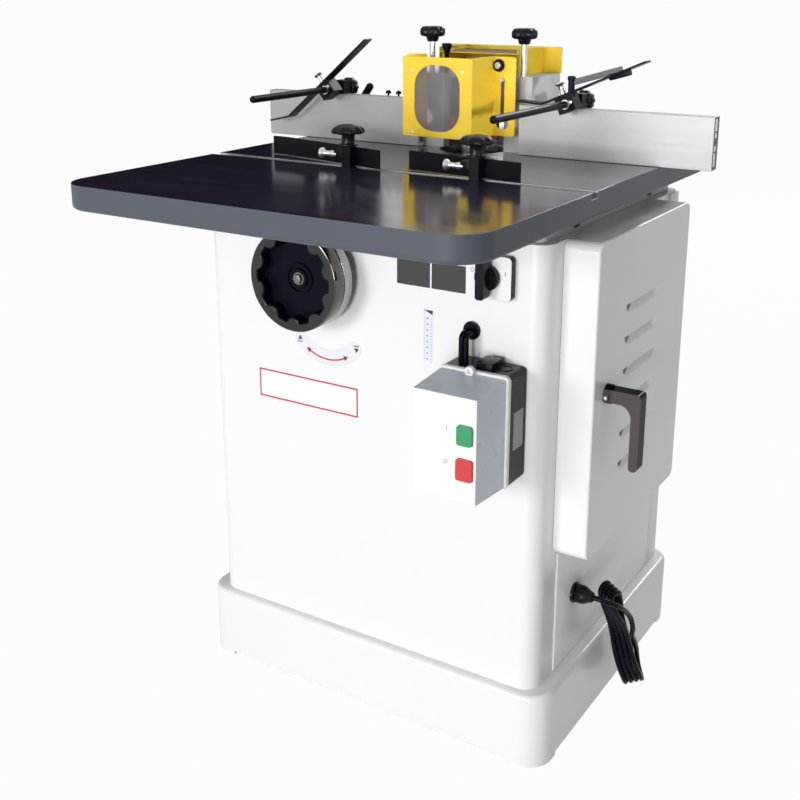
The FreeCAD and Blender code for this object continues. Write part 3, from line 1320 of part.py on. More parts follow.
def make_lock_lever(x, degrees):
    wing_back = FENCE_REAR + WING_THICK + GAP
    slot_y = FENCE_FACE + BOARD_THICK - BOARD_MOUTH_DEPTH
    head_y = slot_y - (BOARD_SLOT_DEPTH + LEVER_HEAD_THICK) / 2
    head = rod(LEVER_HEAD, V(x, head_y, BOARD_MIDDLE), BACK, LEVER_HEAD_THICK)
    bolt = rod(LEVER_BOLT, V(x, head_y, BOARD_MIDDLE), BACK, wing_back - head_y)
    spacer = rod(LEVER_SPACER, V(x, wing_back, BOARD_MIDDLE), BACK, LEVER_SPACER_LENGTH)
    hub_y = wing_back + LEVER_SPACER_LENGTH
    hub = rod(LEVER_HUB, V(x, hub_y, BOARD_MIDDLE), BACK, LEVER_HUB_LENGTH)
    angle = math.radians(degrees)
    lean = V(math.sin(angle), 0, math.cos(angle))
    middle = V(x, hub_y + LEVER_HUB_LENGTH / 2, BOARD_MIDDLE)
    handle = rod(LEVER_ROD, middle, lean, LEVER_LENGTH)
    return join(head, bolt, spacer, hub, handle, ball(LEVER_ROD, middle + lean * LEVER_LENGTH))


# Pressure posts

def make_pressure_post(x):
    half = POST_SIDE / 2
    post = block(x - half, x + half, SLOT_Y - half, SLOT_Y + half, TABLE_TOP, POST_TOP)
    neck = SLOT_WIDTH / 2 - GAP
    floor = TABLE_TOP - SLOT_DEPTH
    tenon = block(x - neck, x + neck, SLOT_Y - neck, SLOT_Y + neck, floor + GAP, TABLE_TOP)
    foot = SLOT_FOOT_WIDTH / 2 - GAP
    shoe = block(x - foot, x + foot, SLOT_Y - foot, SLOT_Y + foot, floor + GAP,
                 floor + SLOT_FOOT_HEIGHT - GAP)
    hole = rod(POST_STUD + RUN, V(x, SLOT_Y, POST_TOP - POST_STUD_DEPTH - GAP), UP,
               POST_STUD_DEPTH + GAP + OVER)
    return less(join(post, tenon, shoe), hole)


def strip_points(x, left, right, degrees):
    angle = math.radians(degrees)
    run = V(math.cos(angle), -math.sin(angle), 0)
    side = V(math.sin(angle), math.cos(angle), 0)
    start = V(x, SLOT_Y + POST_SIDE / 2, TABLE_TOP + STRIP_LIFT) + side * (POST_SIDE / 2 * math.tan(angle))
    near = start - run * (left - STRIP_FOOT)
    end = start + run * right
    return [end, near, near + LEFT * STRIP_FOOT, near + LEFT * STRIP_FOOT + BACK * STRIP_THICK,
            near + BACK * (STRIP_THICK / math.cos(angle)), end + side * STRIP_THICK]


def make_pressure_spring(x, left, right, degrees):
    return prism(strip_points(x, left, right, degrees), UP * STRIP_TALL)


def make_pressure_knob(x):
    low = POST_TOP + GAP
    stud = rod(POST_STUD, V(x, SLOT_Y, POST_TOP - POST_STUD_DEPTH), UP, POST_STUD_DEPTH + GAP)
    hub = rod(POST_HUB, V(x, SLOT_Y, low), UP, POST_KNOB_Z - low)
    grip = fluted(POST_KNOB_RADIUS, POST_KNOB_FLUTE, POST_KNOB_FLUTE_COUNT, V(x, SLOT_Y, POST_KNOB_Z),
                  UP, RIGHT, POST_KNOB_TOP - POST_KNOB_Z)
    return join(stud, hub, grip)


# Mains cord

def make_cord_gland():
    wall = V(CABINET_SIDE, GLAND_Y, GLAND_Z)
    plug = rod(GLAND_PLUG, wall + LEFT * GLAND_PLUG_LENGTH, RIGHT, GLAND_PLUG_LENGTH)
    nut = rod(GLAND_NUT, wall, RIGHT, GLAND_NUT_LENGTH)
    taper = cone(GLAND_NUT - (GLAND_NUT - GLAND_TIP) / 3, GLAND_TIP, wall + RIGHT * GLAND_NUT_LENGTH,
                 RIGHT, GLAND_TAPER)
    return join(plug, nut, taper)


def hank_axes():
    along = V(HANK_END_X - HANK_TOP_X, HANK_END_Y - HANK_TOP_Y, HANK_END_Z - HANK_TOP_Z)
    along.normalize()
    out = RIGHT - along * RIGHT.dot(along)
    out.normalize()
    return along, out, out.cross(along)


def hank_place(down, across, layer):
    along, out, side = hank_axes()
    shift = (HANK_LOOP_COUNT - 1) / 2 - layer
    top = V(HANK_TOP_X, HANK_TOP_Y, HANK_TOP_Z)
    return top + along * down + side * across + out * (shift * HANK_STEP)


def hank_path():
    along = hank_axes()[0]
    start = hank_place(HANK_WAIST, HANK_WAIST_HALF, -1)
    here = hank_place(HANK_WAIST + 2 * CORD_RADIUS, HANK_WAIST_HALF, -1)
    edges = [Part.makeLine(start, here)]
    heading = along
    for layer in range(HANK_LOOP_COUNT):
        stops = [(HANK_FOOT, HANK_FOOT_HALF, along), (HANK_FOOT, -HANK_FOOT_HALF, -along),
                 (HANK_WAIST, -HANK_WAIST_HALF, -along), (HANK_CROWN, -HANK_CROWN_HALF, -along),
                 (HANK_CROWN, HANK_CROWN_HALF, along), (HANK_WAIST, HANK_WAIST_HALF, along)]
        for down, across, leaving in stops:
            there = hank_place(down, across, layer)
            edges.extend(biarc(here, heading, there, leaving))
            here = there
            heading = leaving
    last = here + along * (2 * CORD_RADIUS)
    edges.append(Part.makeLine(here, last))
    return edges, start, along


def lead_points():
    along = hank_axes()[0]
    end = hank_place(HANK_WAIST, HANK_WAIST_HALF, -1)
    tip = V(CABINET_SIDE + GLAND_NUT_LENGTH + GLAND_TAPER, GLAND_Y, GLAND_Z)
    return [tip, tip + RIGHT * LEAD_OUT, end - along * LEAD_IN, end]


def least_self_gap(edges, radius):
    points = []
    stations = []
    travelled = 0
    for edge in edges:
        count = max(2, int(edge.Length / radius))
        for index in range(count):
            place = edge.FirstParameter + (edge.LastParameter - edge.FirstParameter) * index / count
            points.append(edge.valueAt(place))
            stations.append(travelled + edge.Length * index / count)
        travelled += edge.Length
    least = travelled
    for first in range(len(points)):
        for second in range(first + 1, len(points)):
            if stations[second] - stations[first] > math.pi * radius * 2:
                least = min(least, points[first].distanceToPoint(points[second]))
    return least - 2 * radius


def report_cord(name, edges, shape, radius):
    length = length_of(edges)
    section = math.pi * radius * radius
    print(name, "radius", radius, "length", round(length, 1), "volume", round(shape.Volume, 1),
          "section x length", round(section * length, 1))


def save(name, shape):
    solids = shape if isinstance(shape, list) else [shape]
    for solid in solids:
        if len(solid.Solids) != 1 or not solid.isValid():
            print("CHECK", name, len(solid.Solids), solid.isValid())
    whole = solids[0] if len(solids) == 1 else Part.makeCompound(solids)
    whole.exportStep(os.path.join("parts", name + ".step"))


def main():
    os.makedirs("parts", exist_ok=True)
    board = make_board()
    hank_edges, hank_start, hank_heading = hank_path()
    hank = tube(hank_edges, CORD_RADIUS, hank_start, hank_heading)
    lead_edges = bent_path(lead_points())
    lead = bent_tube(lead_points(), CORD_RADIUS)
    cables = [bent_tube(cable_points(side), CABLE_RADIUS) for side in (-1, 1)]
    report_cord("cord_hank", hank_edges, hank, CORD_RADIUS)
    report_cord("cord_lead", lead_edges, lead, CORD_RADIUS)
    report_cord("starter_cable", bent_path(cable_points(1)), cables[1], CABLE_RADIUS)
    print("cord_hank least self gap", round(least_self_gap(hank_edges, CORD_RADIUS), 2))
    nodes = {
        "plinth": make_plinth(),
        "cabinet_shell": make_cabinet_shell(),
        "top_frame": make_top_frame(),
        "table": make_table(),
        "table_ring": make_table_ring(),
        "slide_column": make_slide_column(),
        "wheel_bush": make_wheel_bush(),
        "starter_base": make_starter_base(),
        "starter_cover": make_starter_cover(),
        "starter_cable": cables,
        "cable_grommet": make_cable_grommet(),
        "switch_body": make_switch_body(),
        "door_hinges": make_door_hinges(),
        "cord_gland": make_cord_gland(),
        "cord_lead": lead,
        "cord_hank": hank,
        "carriage": make_carriage(),
        "spindle_bearings": make_spindle_bearings(),
        "motor": make_motor(),
        "drive_belt": make_drive_belt(),
        "spindle_shaft": make_spindle_shaft(),
        "spindle_pulley": pulley(SPINDLE_PULLEY, SPINDLE_RADIUS, 0, SPINDLE_Y),
        "cutter_block": make_cutter_block(),
        "spacer_collars": make_spacer_collars(),
        "spindle_nut": make_spindle_nut(),
        "motor_shaft": make_motor_shaft(),
        "motor_pulley": pulley(MOTOR_PULLEY, MOTOR_SHAFT, MOTOR_X, MOTOR_Y),
        "hand_wheel": make_hand_wheel(),
        "wheel_cup": make_wheel_cup(),
        "wheel_shaft": make_wheel_shaft(),
        "lead_screw": make_lead_screw(),
        "fence_housing": make_fence_housing(),
        "rear_hood": make_rear_hood(),
        "left_fence_board": mirrored(board),
        "right_fence_board": board,
        "front_guard": make_front_guard(),
        "guard_window": make_guard_window(),
        "motor_door": make_motor_door(),
        "door_latch": make_door_latch(),
        "start_button": make_button(START_Z, START_WIDTH, START_HEIGHT),
        "stop_button": make_button(STOP_Z, STOP_WIDTH, STOP_HEIGHT),
        "switch_knob": make_switch_knob(),
        "left_lock_lever": make_lock_lever(-LEVER_X, LEFT_LEVER_DEG),
        "right_lock_lever": make_lock_lever(LEVER_X, RIGHT_LEVER_DEG),
    }
    sides = [("left", -1, LEFT_ROD_X, LEFT_ROD_REACH, LEFT_SPRING_UP, LEFT_SPRING_DOWN, LEFT_SPRING_DEG),
             ("right", 1, RIGHT_ROD_X, RIGHT_ROD_REACH, RIGHT_SPRING_UP, RIGHT_SPRING_DOWN,
              RIGHT_SPRING_DEG)]
    for name, side, x, reach, up, down, degrees in sides:
        nodes[name + "_fence_knob"] = make_fence_knob(side)
        nodes[name + "_rod"] = make_hold_down_rod(x, reach)
        nodes[name + "_hold_down_clamp"] = make_hold_down_clamp(x, degrees)
        nodes[name + "_hold_down_spring"] = make_hold_down_spring(x, up, down, degrees)
        nodes[name + "_hold_down_knob"] = make_hold_down_knob(x)
    strips = [("left", LEFT_POST_X, LEFT_STRIP_LEFT, LEFT_STRIP_RIGHT, LEFT_STRIP_DEG),
              ("right", RIGHT_POST_X, RIGHT_STRIP_LEFT, RIGHT_STRIP_RIGHT, RIGHT_STRIP_DEG)]
    for name, x, left, right, degrees in strips:
        nodes[name + "_pressure_post"] = make_pressure_post(x)
        nodes[name + "_pressure_spring"] = make_pressure_spring(x, left, right, degrees)
        nodes[name + "_pressure_knob"] = make_pressure_knob(x)
    for name, shape in nodes.items():
        save(name, shape)
    print("nodes", len(nodes))


main()
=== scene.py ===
import json
import math

import bmesh
import bpy
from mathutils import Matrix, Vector


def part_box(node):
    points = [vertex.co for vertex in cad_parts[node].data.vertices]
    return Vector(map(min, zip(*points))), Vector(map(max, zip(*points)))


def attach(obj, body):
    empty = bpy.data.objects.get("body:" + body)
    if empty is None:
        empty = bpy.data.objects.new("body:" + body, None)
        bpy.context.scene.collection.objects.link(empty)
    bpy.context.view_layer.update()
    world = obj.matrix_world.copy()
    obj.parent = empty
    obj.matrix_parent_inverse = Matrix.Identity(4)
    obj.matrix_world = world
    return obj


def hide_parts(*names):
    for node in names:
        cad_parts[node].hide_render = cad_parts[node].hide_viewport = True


# Spindle moulder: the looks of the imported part. Metres, in the part's own frame.

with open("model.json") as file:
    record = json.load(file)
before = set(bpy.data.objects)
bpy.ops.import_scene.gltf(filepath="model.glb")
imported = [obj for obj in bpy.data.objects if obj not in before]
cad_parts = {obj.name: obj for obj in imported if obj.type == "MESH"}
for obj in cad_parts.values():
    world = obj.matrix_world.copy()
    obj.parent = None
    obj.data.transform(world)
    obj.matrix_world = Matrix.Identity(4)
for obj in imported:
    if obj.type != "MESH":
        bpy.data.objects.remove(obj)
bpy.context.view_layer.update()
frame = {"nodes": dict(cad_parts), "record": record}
RECORD = frame["record"]
BODY_OF = {node: body for body, members in RECORD["behaviour"]["bodies"].items() for node in members}
SLOT_OF = {part["node"]: part["material_slot"] for part in RECORD["subparts"]}

MM = 0.001
X = Vector((1, 0, 0))
Y = Vector((0, 1, 0))
Z = Vector((0, 0, 1))
SIDES = ("left", "right")

# Places read from the frame
TABLE_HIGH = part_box("table")[1]
CABINET_LOW, CABINET_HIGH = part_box("cabinet_shell")
PLINTH_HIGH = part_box("plinth")[1]
WHEEL_LOW, WHEEL_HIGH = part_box("hand_wheel")
WHEEL_CENTRE = (WHEEL_LOW + WHEEL_HIGH) / 2
COVER_LOW, COVER_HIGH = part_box("starter_cover")
BASE_LOW, BASE_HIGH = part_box("starter_base")
SWITCH_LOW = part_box("switch_body")[0]
DIAL_LOW, DIAL_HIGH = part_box("switch_knob")
GUARD_LOW, GUARD_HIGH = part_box("front_guard")
PANE_LOW, PANE_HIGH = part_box("guard_window")
HOUSING_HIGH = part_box("fence_housing")[1]
FENCE_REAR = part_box("right_fence_board")[1].y + 0.2 * MM
HOOD_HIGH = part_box("rear_hood")[1]
DOOR_LOW, DOOR_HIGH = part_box("motor_door")
GLAND_LOW, GLAND_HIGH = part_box("cord_gland")
FRONT_Y = CABINET_LOW.y
TOP_Z = TABLE_HIGH.z

# Camera at the photograph's viewing angle
CAMERA_PLACE = Vector((0.9615, -1.5662, 1.1982))
CAMERA_AZIMUTH = math.radians(32.3)
CAMERA_ELEVATION = math.radians(15.9)
CAMERA_LENS = 51.15
CAMERA_SENSOR = 36.0
CAMERA_SHIFT = -0.12

# Mains cord: its radius, the lead's points and the hank's shape follow the solids' route
CORD_RADIUS = 4.5 * MM
GLAND_TIP = Vector((GLAND_HIGH.x, (GLAND_LOW.y + GLAND_HIGH.y) / 2, (GLAND_LOW.z + GLAND_HIGH.z) / 2))
LEAD_RUN = 36 * MM
HANK_TOP = Vector((0.362, 0.030, 0.232))
HANK_END = Vector((0.384, 0.108, 0.028))
HANK_LOOPS = 4
HANK_STEP = 9.3 * MM
HANK_CROWN = 14 * MM
HANK_CROWN_HALF = 12 * MM
HANK_WAIST = 85 * MM
HANK_WAIST_HALF = 5.3 * MM
HANK_FOOT = 185 * MM
HANK_FOOT_HALF = 22 * MM
HANK_TWIST = math.radians(34)

# Thin layers on faces, and the centre of the turn label's arc in millimetres across and up
MARK_RISE = 0.15 * MM
FILM = 0.3 * MM
INK = 0.1 * MM
TURN_CENTRE = (-67, 683)


# Mesh helpers

def link(name, data):
    made = bpy.data.objects.new(name, data)
    bpy.context.scene.collection.objects.link(made)
    return made


def shade(mesh, degrees):
    for polygon in mesh.polygons:
        polygon.use_smooth = True
    mesh.set_sharp_from_angle(angle=math.radians(degrees))


def piece(name, bm, body, slot, material=None, degrees=32):
    """A new piece of the object from a bmesh, on a body, with the given material or else its slot's
    material.
    """
    bmesh.ops.recalc_face_normals(bm, faces=bm.faces)
    mesh = bpy.data.meshes.new(name)
    bm.to_mesh(mesh)
    bm.free()
    shade(mesh, degrees)
    made = link(name, mesh)
    mesh.materials.append(material or MATERIALS[slot])
    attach(made, body)
    return made


def single(name, body, slot, material, build, *shape, degrees=32):
    """A piece that one call of a mesh helper makes."""
    bm = bmesh.new()
    build(bm, *shape)
    return piece(name, bm, body, slot, material, degrees)


def sharp_edges(bm, degrees):
    limit = math.radians(degrees)
    return [edge for edge in bm.edges if len(edge.link_faces) == 2 and edge.calc_face_angle(0) > limit]


def dress(node, width, segments=2, material=None, tidy=0.4, reshape=None):
    """The node's own shape with rounded edges, standing for the plain solid."""
    bm = bmesh.new()
    bm.from_mesh(frame["nodes"][node].data)
    bmesh.ops.remove_doubles(bm, verts=bm.verts, dist=0.01 * MM)
    if reshape:
        for vert in bm.verts:
            vert.co = reshape(vert.co)
    bmesh.ops.dissolve_limit(bm, angle_limit=math.radians(tidy), verts=bm.verts, edges=bm.edges)
    if width:
        bmesh.ops.bevel(bm, geom=sharp_edges(bm, 30), offset=width * MM, segments=segments, profile=0.5,
                        affect="EDGES", clamp_overlap=True, loop_slide=True)
    made = piece(node + "_finish", bm, BODY_OF[node], SLOT_OF[node], material)
    normals = made.modifiers.new("even_normals", "WEIGHTED_NORMAL")
    normals.keep_sharp = True
    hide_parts(node)
    return made


def paint_faces(made, material, chosen):
    """A second material on the faces that a test of their centre and normal picks."""
    made.data.materials.append(material)
    index = len(made.data.materials) - 1
    for polygon in made.data.polygons:
        if chosen(polygon.center, polygon.normal):
            polygon.material_index = index


def axes_for(axis):
    """Two directions square to an axis and to each other."""
    side = X if abs(axis.x) < 0.9 else Y
    first = (side - axis * side.dot(axis)).normalized()
    return first, axis.cross(first)


def lathe(bm, profile, centre, axis, steps=48, swell=None):
    """A turned shape: radii and heights along an axis, the radius optionally changed by angle."""
    first, second = axes_for(axis)
    rings = []
    for radius, height in profile:
        loop = []
        for index in range(steps):
            angle = 2 * math.pi * index / steps
            reach = radius * (swell(angle, radius) if swell else 1)
            spoke = first * math.cos(angle) + second * math.sin(angle)
            loop.append(bm.verts.new(centre + axis * height + spoke * reach))
        rings.append(loop)
    for low, high in zip(rings, rings[1:]):
        for index in range(steps):
            after = (index + 1) % steps
            bm.faces.new((low[index], low[after], high[after], high[index]))
    bm.faces.new(list(reversed(rings[0])))
    bm.faces.new(rings[-1])


def ring(bm, profile, centre, axis, steps=64):
    """A turned ring: a closed outline of radii and heights, carried round an axis."""
    first, second = axes_for(axis)
    rings = []
    for index in range(steps):
        angle = 2 * math.pi * index / steps
        spoke = first * math.cos(angle) + second * math.sin(angle)
        places = [centre + axis * height + spoke * radius for radius, height in profile]
        rings.append([bm.verts.new(place) for place in places])
    for index in range(steps):
        one = rings[index]
        two = rings[(index + 1) % steps]
        for k in range(len(profile)):
            after = (k + 1) % len(profile)
            bm.faces.new((one[k], one[after], two[after], two[k]))


def hoop(bm, outer, inner, origin, along, up, thick):
    """A flat frame between two outlines with as many points each."""
    normal = along.cross(up).normalized()
    loops = []
    for outline, rise in ((outer, 0), (outer, thick), (inner, thick), (inner, 0)):
        loops.append([bm.verts.new(origin + along * u + up * v + normal * rise) for u, v in outline])
    count = len(outer)
    for one, two in zip(loops, loops[1:] + loops[:1]):
        for index in range(count):
            after = (index + 1) % count
            bm.faces.new((one[index], one[after], two[after], two[index]))


def slab(bm, outline, origin, along, up, thick, bevel=0.0):
    """A flat plate: an outline in two directions, raised by its thickness along their normal."""
    normal = along.cross(up).normalized()
    base = [bm.verts.new(origin + along * u + up * v) for u, v in outline]
    top = [bm.verts.new(vert.co + normal * thick) for vert in base]
    bm.faces.new(list(reversed(base)))
    face = bm.faces.new(top)
    for index in range(len(base)):
        after = (index + 1) % len(base)
        bm.faces.new((base[index], base[after], top[after], top[index]))
    if bevel:
        bmesh.ops.bevel(bm, geom=list(face.edges), offset=bevel, segments=2, profile=0.5,
                        affect="EDGES", clamp_overlap=True)


def polar(radius, degrees):
    angle = math.radians(degrees)
    return radius * math.cos(angle), radius * math.sin(angle)


def arc(cx, cy, radius, start, end, steps):
    points = []
    for index in range(steps + 1):
        across, up = polar(radius, start + (end - start) * index / steps)
        points.append((cx + across, cy + up))
    return points


def rounded_box(width, height, radius, steps=6):
    """A rectangle about the origin with round corners."""
    x = width / 2 - radius
    y = height / 2 - radius
    return (arc(x, y, radius, 0, 90, steps) + arc(-x, y, radius, 90, 180, steps)
            + arc(-x, -y, radius, 180, 270, steps) + arc(x, -y, radius, 270, 360, steps))


def band(radius, half, start, end, steps=32):
    """A curved strip about the origin with round ends, from one angle to a larger one."""
    outer = arc(0, 0, radius + half, start, end, steps)
    inner = arc(0, 0, radius - half, end, start, steps)
    cap_end = arc(*polar(radius, end), half, end, end + 180, 8)[1:-1]
    cap_start = arc(*polar(radius, start), half, start + 180, start + 360, 8)[1:-1]
    return outer + cap_end + inner + cap_start


def hexagon(radius):
    return arc(0, 0, radius, 0, 300, 5)


def mm(*points):
    """Points given in millimetres, in metres."""
    return [(first * MM, second * MM) for first, second in points]


def mm_box(width, height, radius, steps=6):
    """A rectangle with round corners, given in millimetres."""
    return rounded_box(width * MM, height * MM, radius * MM, steps)


def pan_screw(bm, place, axis, radius, tall):
    """A low screw head with a sunk hexagon socket."""
    profile = [(radius, 0), (radius, tall * 0.55), (radius * 0.86, tall * 0.9), (radius * 0.55, tall),
               (radius * 0.5, tall * 0.98), (radius * 0.5, tall * 0.35), (radius * 0.02, tall * 0.3)]
    lathe(bm, profile, place, axis, 24)


def hex_bolt(bm, place, axis, radius, tall, washer):
    """A hexagon head on a round washer."""
    lathe(bm, [(washer, 0), (washer, radius * 0.18), (washer * 0.96, radius * 0.22)], place, axis, 28)
    first, second = axes_for(axis)
    head = place + axis * radius * 0.22
    slab(bm, hexagon(radius), head, first, second, tall, radius * 0.12)


def lobes(count, depth, inner):
    """Radius change of a lobed knob; the part inside the given radius stays round."""
    def swell(angle, radius):
        share = max(0.0, min(1.0, (radius - inner) / inner))
        return 1 - depth * share * (0.5 - 0.5 * math.cos(count * angle))
    return swell


# Material helpers

def srgb(red, green, blue):
    linear = []
    for value in (red, green, blue):
        part = value / 255
        linear.append(part / 12.92 if part <= 0.04045 else ((part + 0.055) / 1.055) ** 2.4)
    return linear


class Finish:
    """A procedural material on a Principled shader, with colour, roughness and relief from noise."""

    def __init__(self, name, colour, roughness, **sockets):
        self.material = bpy.data.materials.new(name)
        self.material.use_nodes = True
        self.tree = self.material.node_tree
        self.shader = self.tree.nodes["Principled BSDF"]
        self.colour = list(colour) + [1.0]
        self.roughness = roughness
        self.shader.inputs["Base Color"].default_value = self.colour
        self.shader.inputs["Roughness"].default_value = roughness
        for socket, value in sockets.items():
            self.shader.inputs[socket.replace("_", " ")].default_value = value

    def add(self, kind, inputs=None, **settings):
        node = self.tree.nodes.new(kind)
        for key, value in settings.items():
            setattr(node, key, value)
        for key, value in (inputs or {}).items():
            node.inputs[key].default_value = value
        return node

    def join(self, source, target):
        self.tree.links.new(source, target)

    def coordinates(self, stretch=(1, 1, 1)):
        place = self.add("ShaderNodeTexCoord")
        mapping = self.add("ShaderNodeMapping", {"Scale": stretch})
        self.join(place.outputs["Object"], mapping.inputs["Vector"])
        return mapping.outputs["Vector"]

    def noise(self, scale, stretch=(1, 1, 1), detail=3.0):
        node = self.add("ShaderNodeTexNoise", {"Scale": scale, "Detail": detail})
        self.join(self.coordinates(stretch), node.inputs["Vector"])
        return node.outputs["Fac"]

    def ranged(self, source, low, high):
        """The middle of a noise's values, spread between two limits."""
        limits = {"From Min": 0.3, "From Max": 0.7, "To Min": low, "To Max": high}
        node = self.add("ShaderNodeMapRange", limits)
        self.join(source, node.inputs["Value"])
        return node.outputs["Result"]

    def mixed(self, factor, first, second):
        node = self.add("ShaderNodeMix", data_type="RGBA")
        self.join(factor, node.inputs["Factor"])
        node.inputs["A"].default_value = first
        node.inputs["B"].default_value = second
        return node.outputs["Result"]

    def tints(self, amount):
        low = [part * (1 - amount) for part in self.colour[:3]] + [1.0]
        high = [min(1.0, part * (1 + amount)) for part in self.colour[:3]] + [1.0]
        return low, high

    def mottle(self, scale, amount, stretch=(1, 1, 1), detail=3.0):
        low, high = self.tints(amount)
        colour = self.mixed(self.ranged(self.noise(scale, stretch, detail), 0, 1), low, high)
        self.join(colour, self.shader.inputs["Base Color"])
        return self

    def uneven(self, scale, amount, stretch=(1, 1, 1)):
        low = self.roughness - amount
        rough = self.ranged(self.noise(scale, stretch), low, self.roughness + amount)
        self.join(rough, self.shader.inputs["Roughness"])
        return self

    def relief(self, scale, height, stretch=(1, 1, 1), detail=2.0):
        bump = self.add("ShaderNodeBump", {"Strength": 1.0, "Distance": height})
        self.join(self.noise(scale, stretch, detail), bump.inputs["Height"])
        self.join(bump.outputs["Normal"], self.shader.inputs["Normal"])
        return self


def gloss_paint(name, colour, roughness=0.3, coat=0.12, **sockets):
    made = Finish(name, colour, roughness, Coat_Weight=coat, Coat_Roughness=0.1, **sockets)
    return made.mottle(5, 0.006).uneven(7, 0.02).relief(240, 0.000008).material


def moulded(name, colour, roughness, grain=0.00001, shades=0.012, **sockets):
    made = Finish(name, colour, roughness, **sockets)
    return made.mottle(25, shades).uneven(40, 0.03).relief(500, grain).material


def machined(name, colour, roughness, stretch, scale=300):
    made = Finish(name, colour, roughness, Metallic=1.0)
    made.mottle(scale, 0.07, stretch).uneven(scale, 0.06, stretch)
    return made.relief(scale * 2, 0.000012, stretch).material


def polished(name, colour, roughness):
    made = Finish(name, colour, roughness, Metallic=1.0)
    return made.mottle(25, 0.06).uneven(45, 0.04).material


def casting(name, colour, roughness):
    made = Finish(name, colour, roughness)
    return made.mottle(30, 0.08).uneven(50, 0.08).relief(350, 0.0001, detail=4).material


def table_iron():
    """Ground iron: fine lines along the table, smooth enough to mirror what stands on it."""
    made = Finish("table_iron", (0.036, 0.027, 0.056), 0.14, IOR=1.9)
    made.mottle(38, 0.18, (0.15, 1, 1), 5).uneven(20, 0.035, (0.2, 1, 1))
    return made.relief(700, 0.00001, (0.1, 1, 1), 3).material


def board_aluminium(name, colour):
    """Drawn aluminium: long fine lines, and a few broad faint bands."""
    made = Finish(name, colour, 0.48, Metallic=0.3)
    made.mottle(55, 0.05, (0.02, 1, 1), 4)
    made.uneven(120, 0.06, (0.02, 1, 1))
    return made.relief(160, 0.00006, (0.01, 1, 1), 3).material


def clear_pane():
    made = Finish("clear_pane", (0.76, 0.745, 0.79), 0.12, IOR=1.3, Transmission_Weight=0.9)
    return made.mottle(20, 0.03).uneven(30, 0.02).material


def rubber():
    made = Finish("cord_rubber", (0.004, 0.004, 0.009), 0.22, Specular_IOR_Level=0.09)
    return made.mottle(60, 0.2).uneven(80, 0.05).relief(400, 0.00001).material


MATERIALS = {
    "white_paint": gloss_paint("white_paint", (0.86, 0.865, 0.875)),
    "table_iron": table_iron(),
    "ring_steel": machined("ring_steel", (0.42, 0.42, 0.44), 0.3, (1, 1, 0.2)),
    "frame_grey": gloss_paint("frame_grey", (0.55, 0.55, 0.55), 0.4),
    "board_aluminium": board_aluminium("board_aluminium", (0.50, 0.505, 0.52)),
    "yellow_paint": gloss_paint("yellow_paint", (0.94, 0.67, 0.05), 0.36, coat=0.03,
                                Specular_IOR_Level=0.3),
    "housing_grey": casting("housing_grey", (0.62, 0.625, 0.635), 0.42),
    "clear_pane": clear_pane(),
    "black_plastic": moulded("black_plastic", (0.004, 0.004, 0.008), 0.26, Specular_IOR_Level=0.17),
    "cover_plastic": moulded("cover_plastic", (0.68, 0.73, 0.80), 0.3, 0.000003, shades=0.006),
    "white_plastic": moulded("white_plastic", (0.87, 0.87, 0.87), 0.35),
    "green_plastic": moulded("green_plastic", srgb(58, 150, 100), 0.3),
    "red_plastic": moulded("red_plastic", srgb(205, 62, 60), 0.3),
    "wheel_chrome": polished("wheel_chrome", (0.38, 0.37, 0.34), 0.06),
    "bright_steel": machined("bright_steel", (0.62, 0.62, 0.64), 0.28, (1, 1, 0.1)),
    "black_steel": moulded("black_steel", (0.004, 0.004, 0.008), 0.36, Specular_IOR_Level=0.1),
    "grey_casting": casting("grey_casting", (0.30, 0.32, 0.34), 0.5),
    "cutter_red": gloss_paint("cutter_red", (0.45, 0.05, 0.04), 0.35),
    "bush_bronze": machined("bush_bronze", (0.60, 0.44, 0.22), 0.35, (1, 0.1, 1)),
    "cord_rubber": rubber(),
}
TABLE_PAINT = gloss_paint("table_paint", srgb(82, 86, 96), 0.45, coat=0.0, Specular_IOR_Level=0.2)
DARK_PLATE = moulded("dark_plate", (0.03, 0.028, 0.03), 0.35)
RED_INK = moulded("red_ink", srgb(196, 66, 80), 0.4)
BLACK_INK = moulded("black_ink", (0.02, 0.02, 0.025), 0.4)
BLUE_FILM = moulded("blue_film", srgb(208, 222, 238), 0.35)
LABEL_FILM = moulded("label_film", srgb(230, 231, 238), 0.4)
WHITE_FILM = moulded("white_film", (0.90, 0.90, 0.905), 0.3)
SLOT_STEEL = machined("slot_steel", (0.50, 0.49, 0.49), 0.4, (0.05, 1, 1))
GREY_PLATE = moulded("grey_plate", srgb(150, 148, 150), 0.4)
# Painted shade: brown-grey for the plates seen through the guard's slots
GUIDE_PAINTED_SHADE = moulded("guide_painted_shade", srgb(92, 74, 58), 0.4)
ZINC = machined("zinc", (0.58, 0.58, 0.57), 0.36, (1, 1, 1), 120)
WHEEL_FACE = polished("wheel_face", (0.057, 0.057, 0.059), 0.16)
CUP_BLACK = moulded("cup_black", (0.003, 0.0035, 0.010), 0.36, shades=0.1, Specular_IOR_Level=0.06)
# Painted shade: a darker copy of the board aluminium for the left board
LEFT_ALUMINIUM_PAINTED_SHADE = board_aluminium("left_aluminium_painted_shade", (0.40, 0.405, 0.42))
LEAF_GREY = moulded("leaf_grey", srgb(118, 118, 122), 0.5, Specular_IOR_Level=0.2)
# Painted reflection: darker chrome for the hand wheel's front band, standing for the shade it mirrors
# beside the wheel
CHROME_PAINTED_DARK_REFLECTION = polished("chrome_painted_dark_reflection", (0.115, 0.105, 0.095), 0.05)
LATCH_BLACK = moulded("latch_black", (0.006, 0.004, 0.006), 0.2, Specular_IOR_Level=0.03)
# Painted light: a lighter brown-grey copy of the latch's black, for its faces that face the front lamps
LATCH_PAINTED_LIGHT = moulded("latch_painted_light", srgb(78, 70, 71), 0.24, Specular_IOR_Level=0.3)
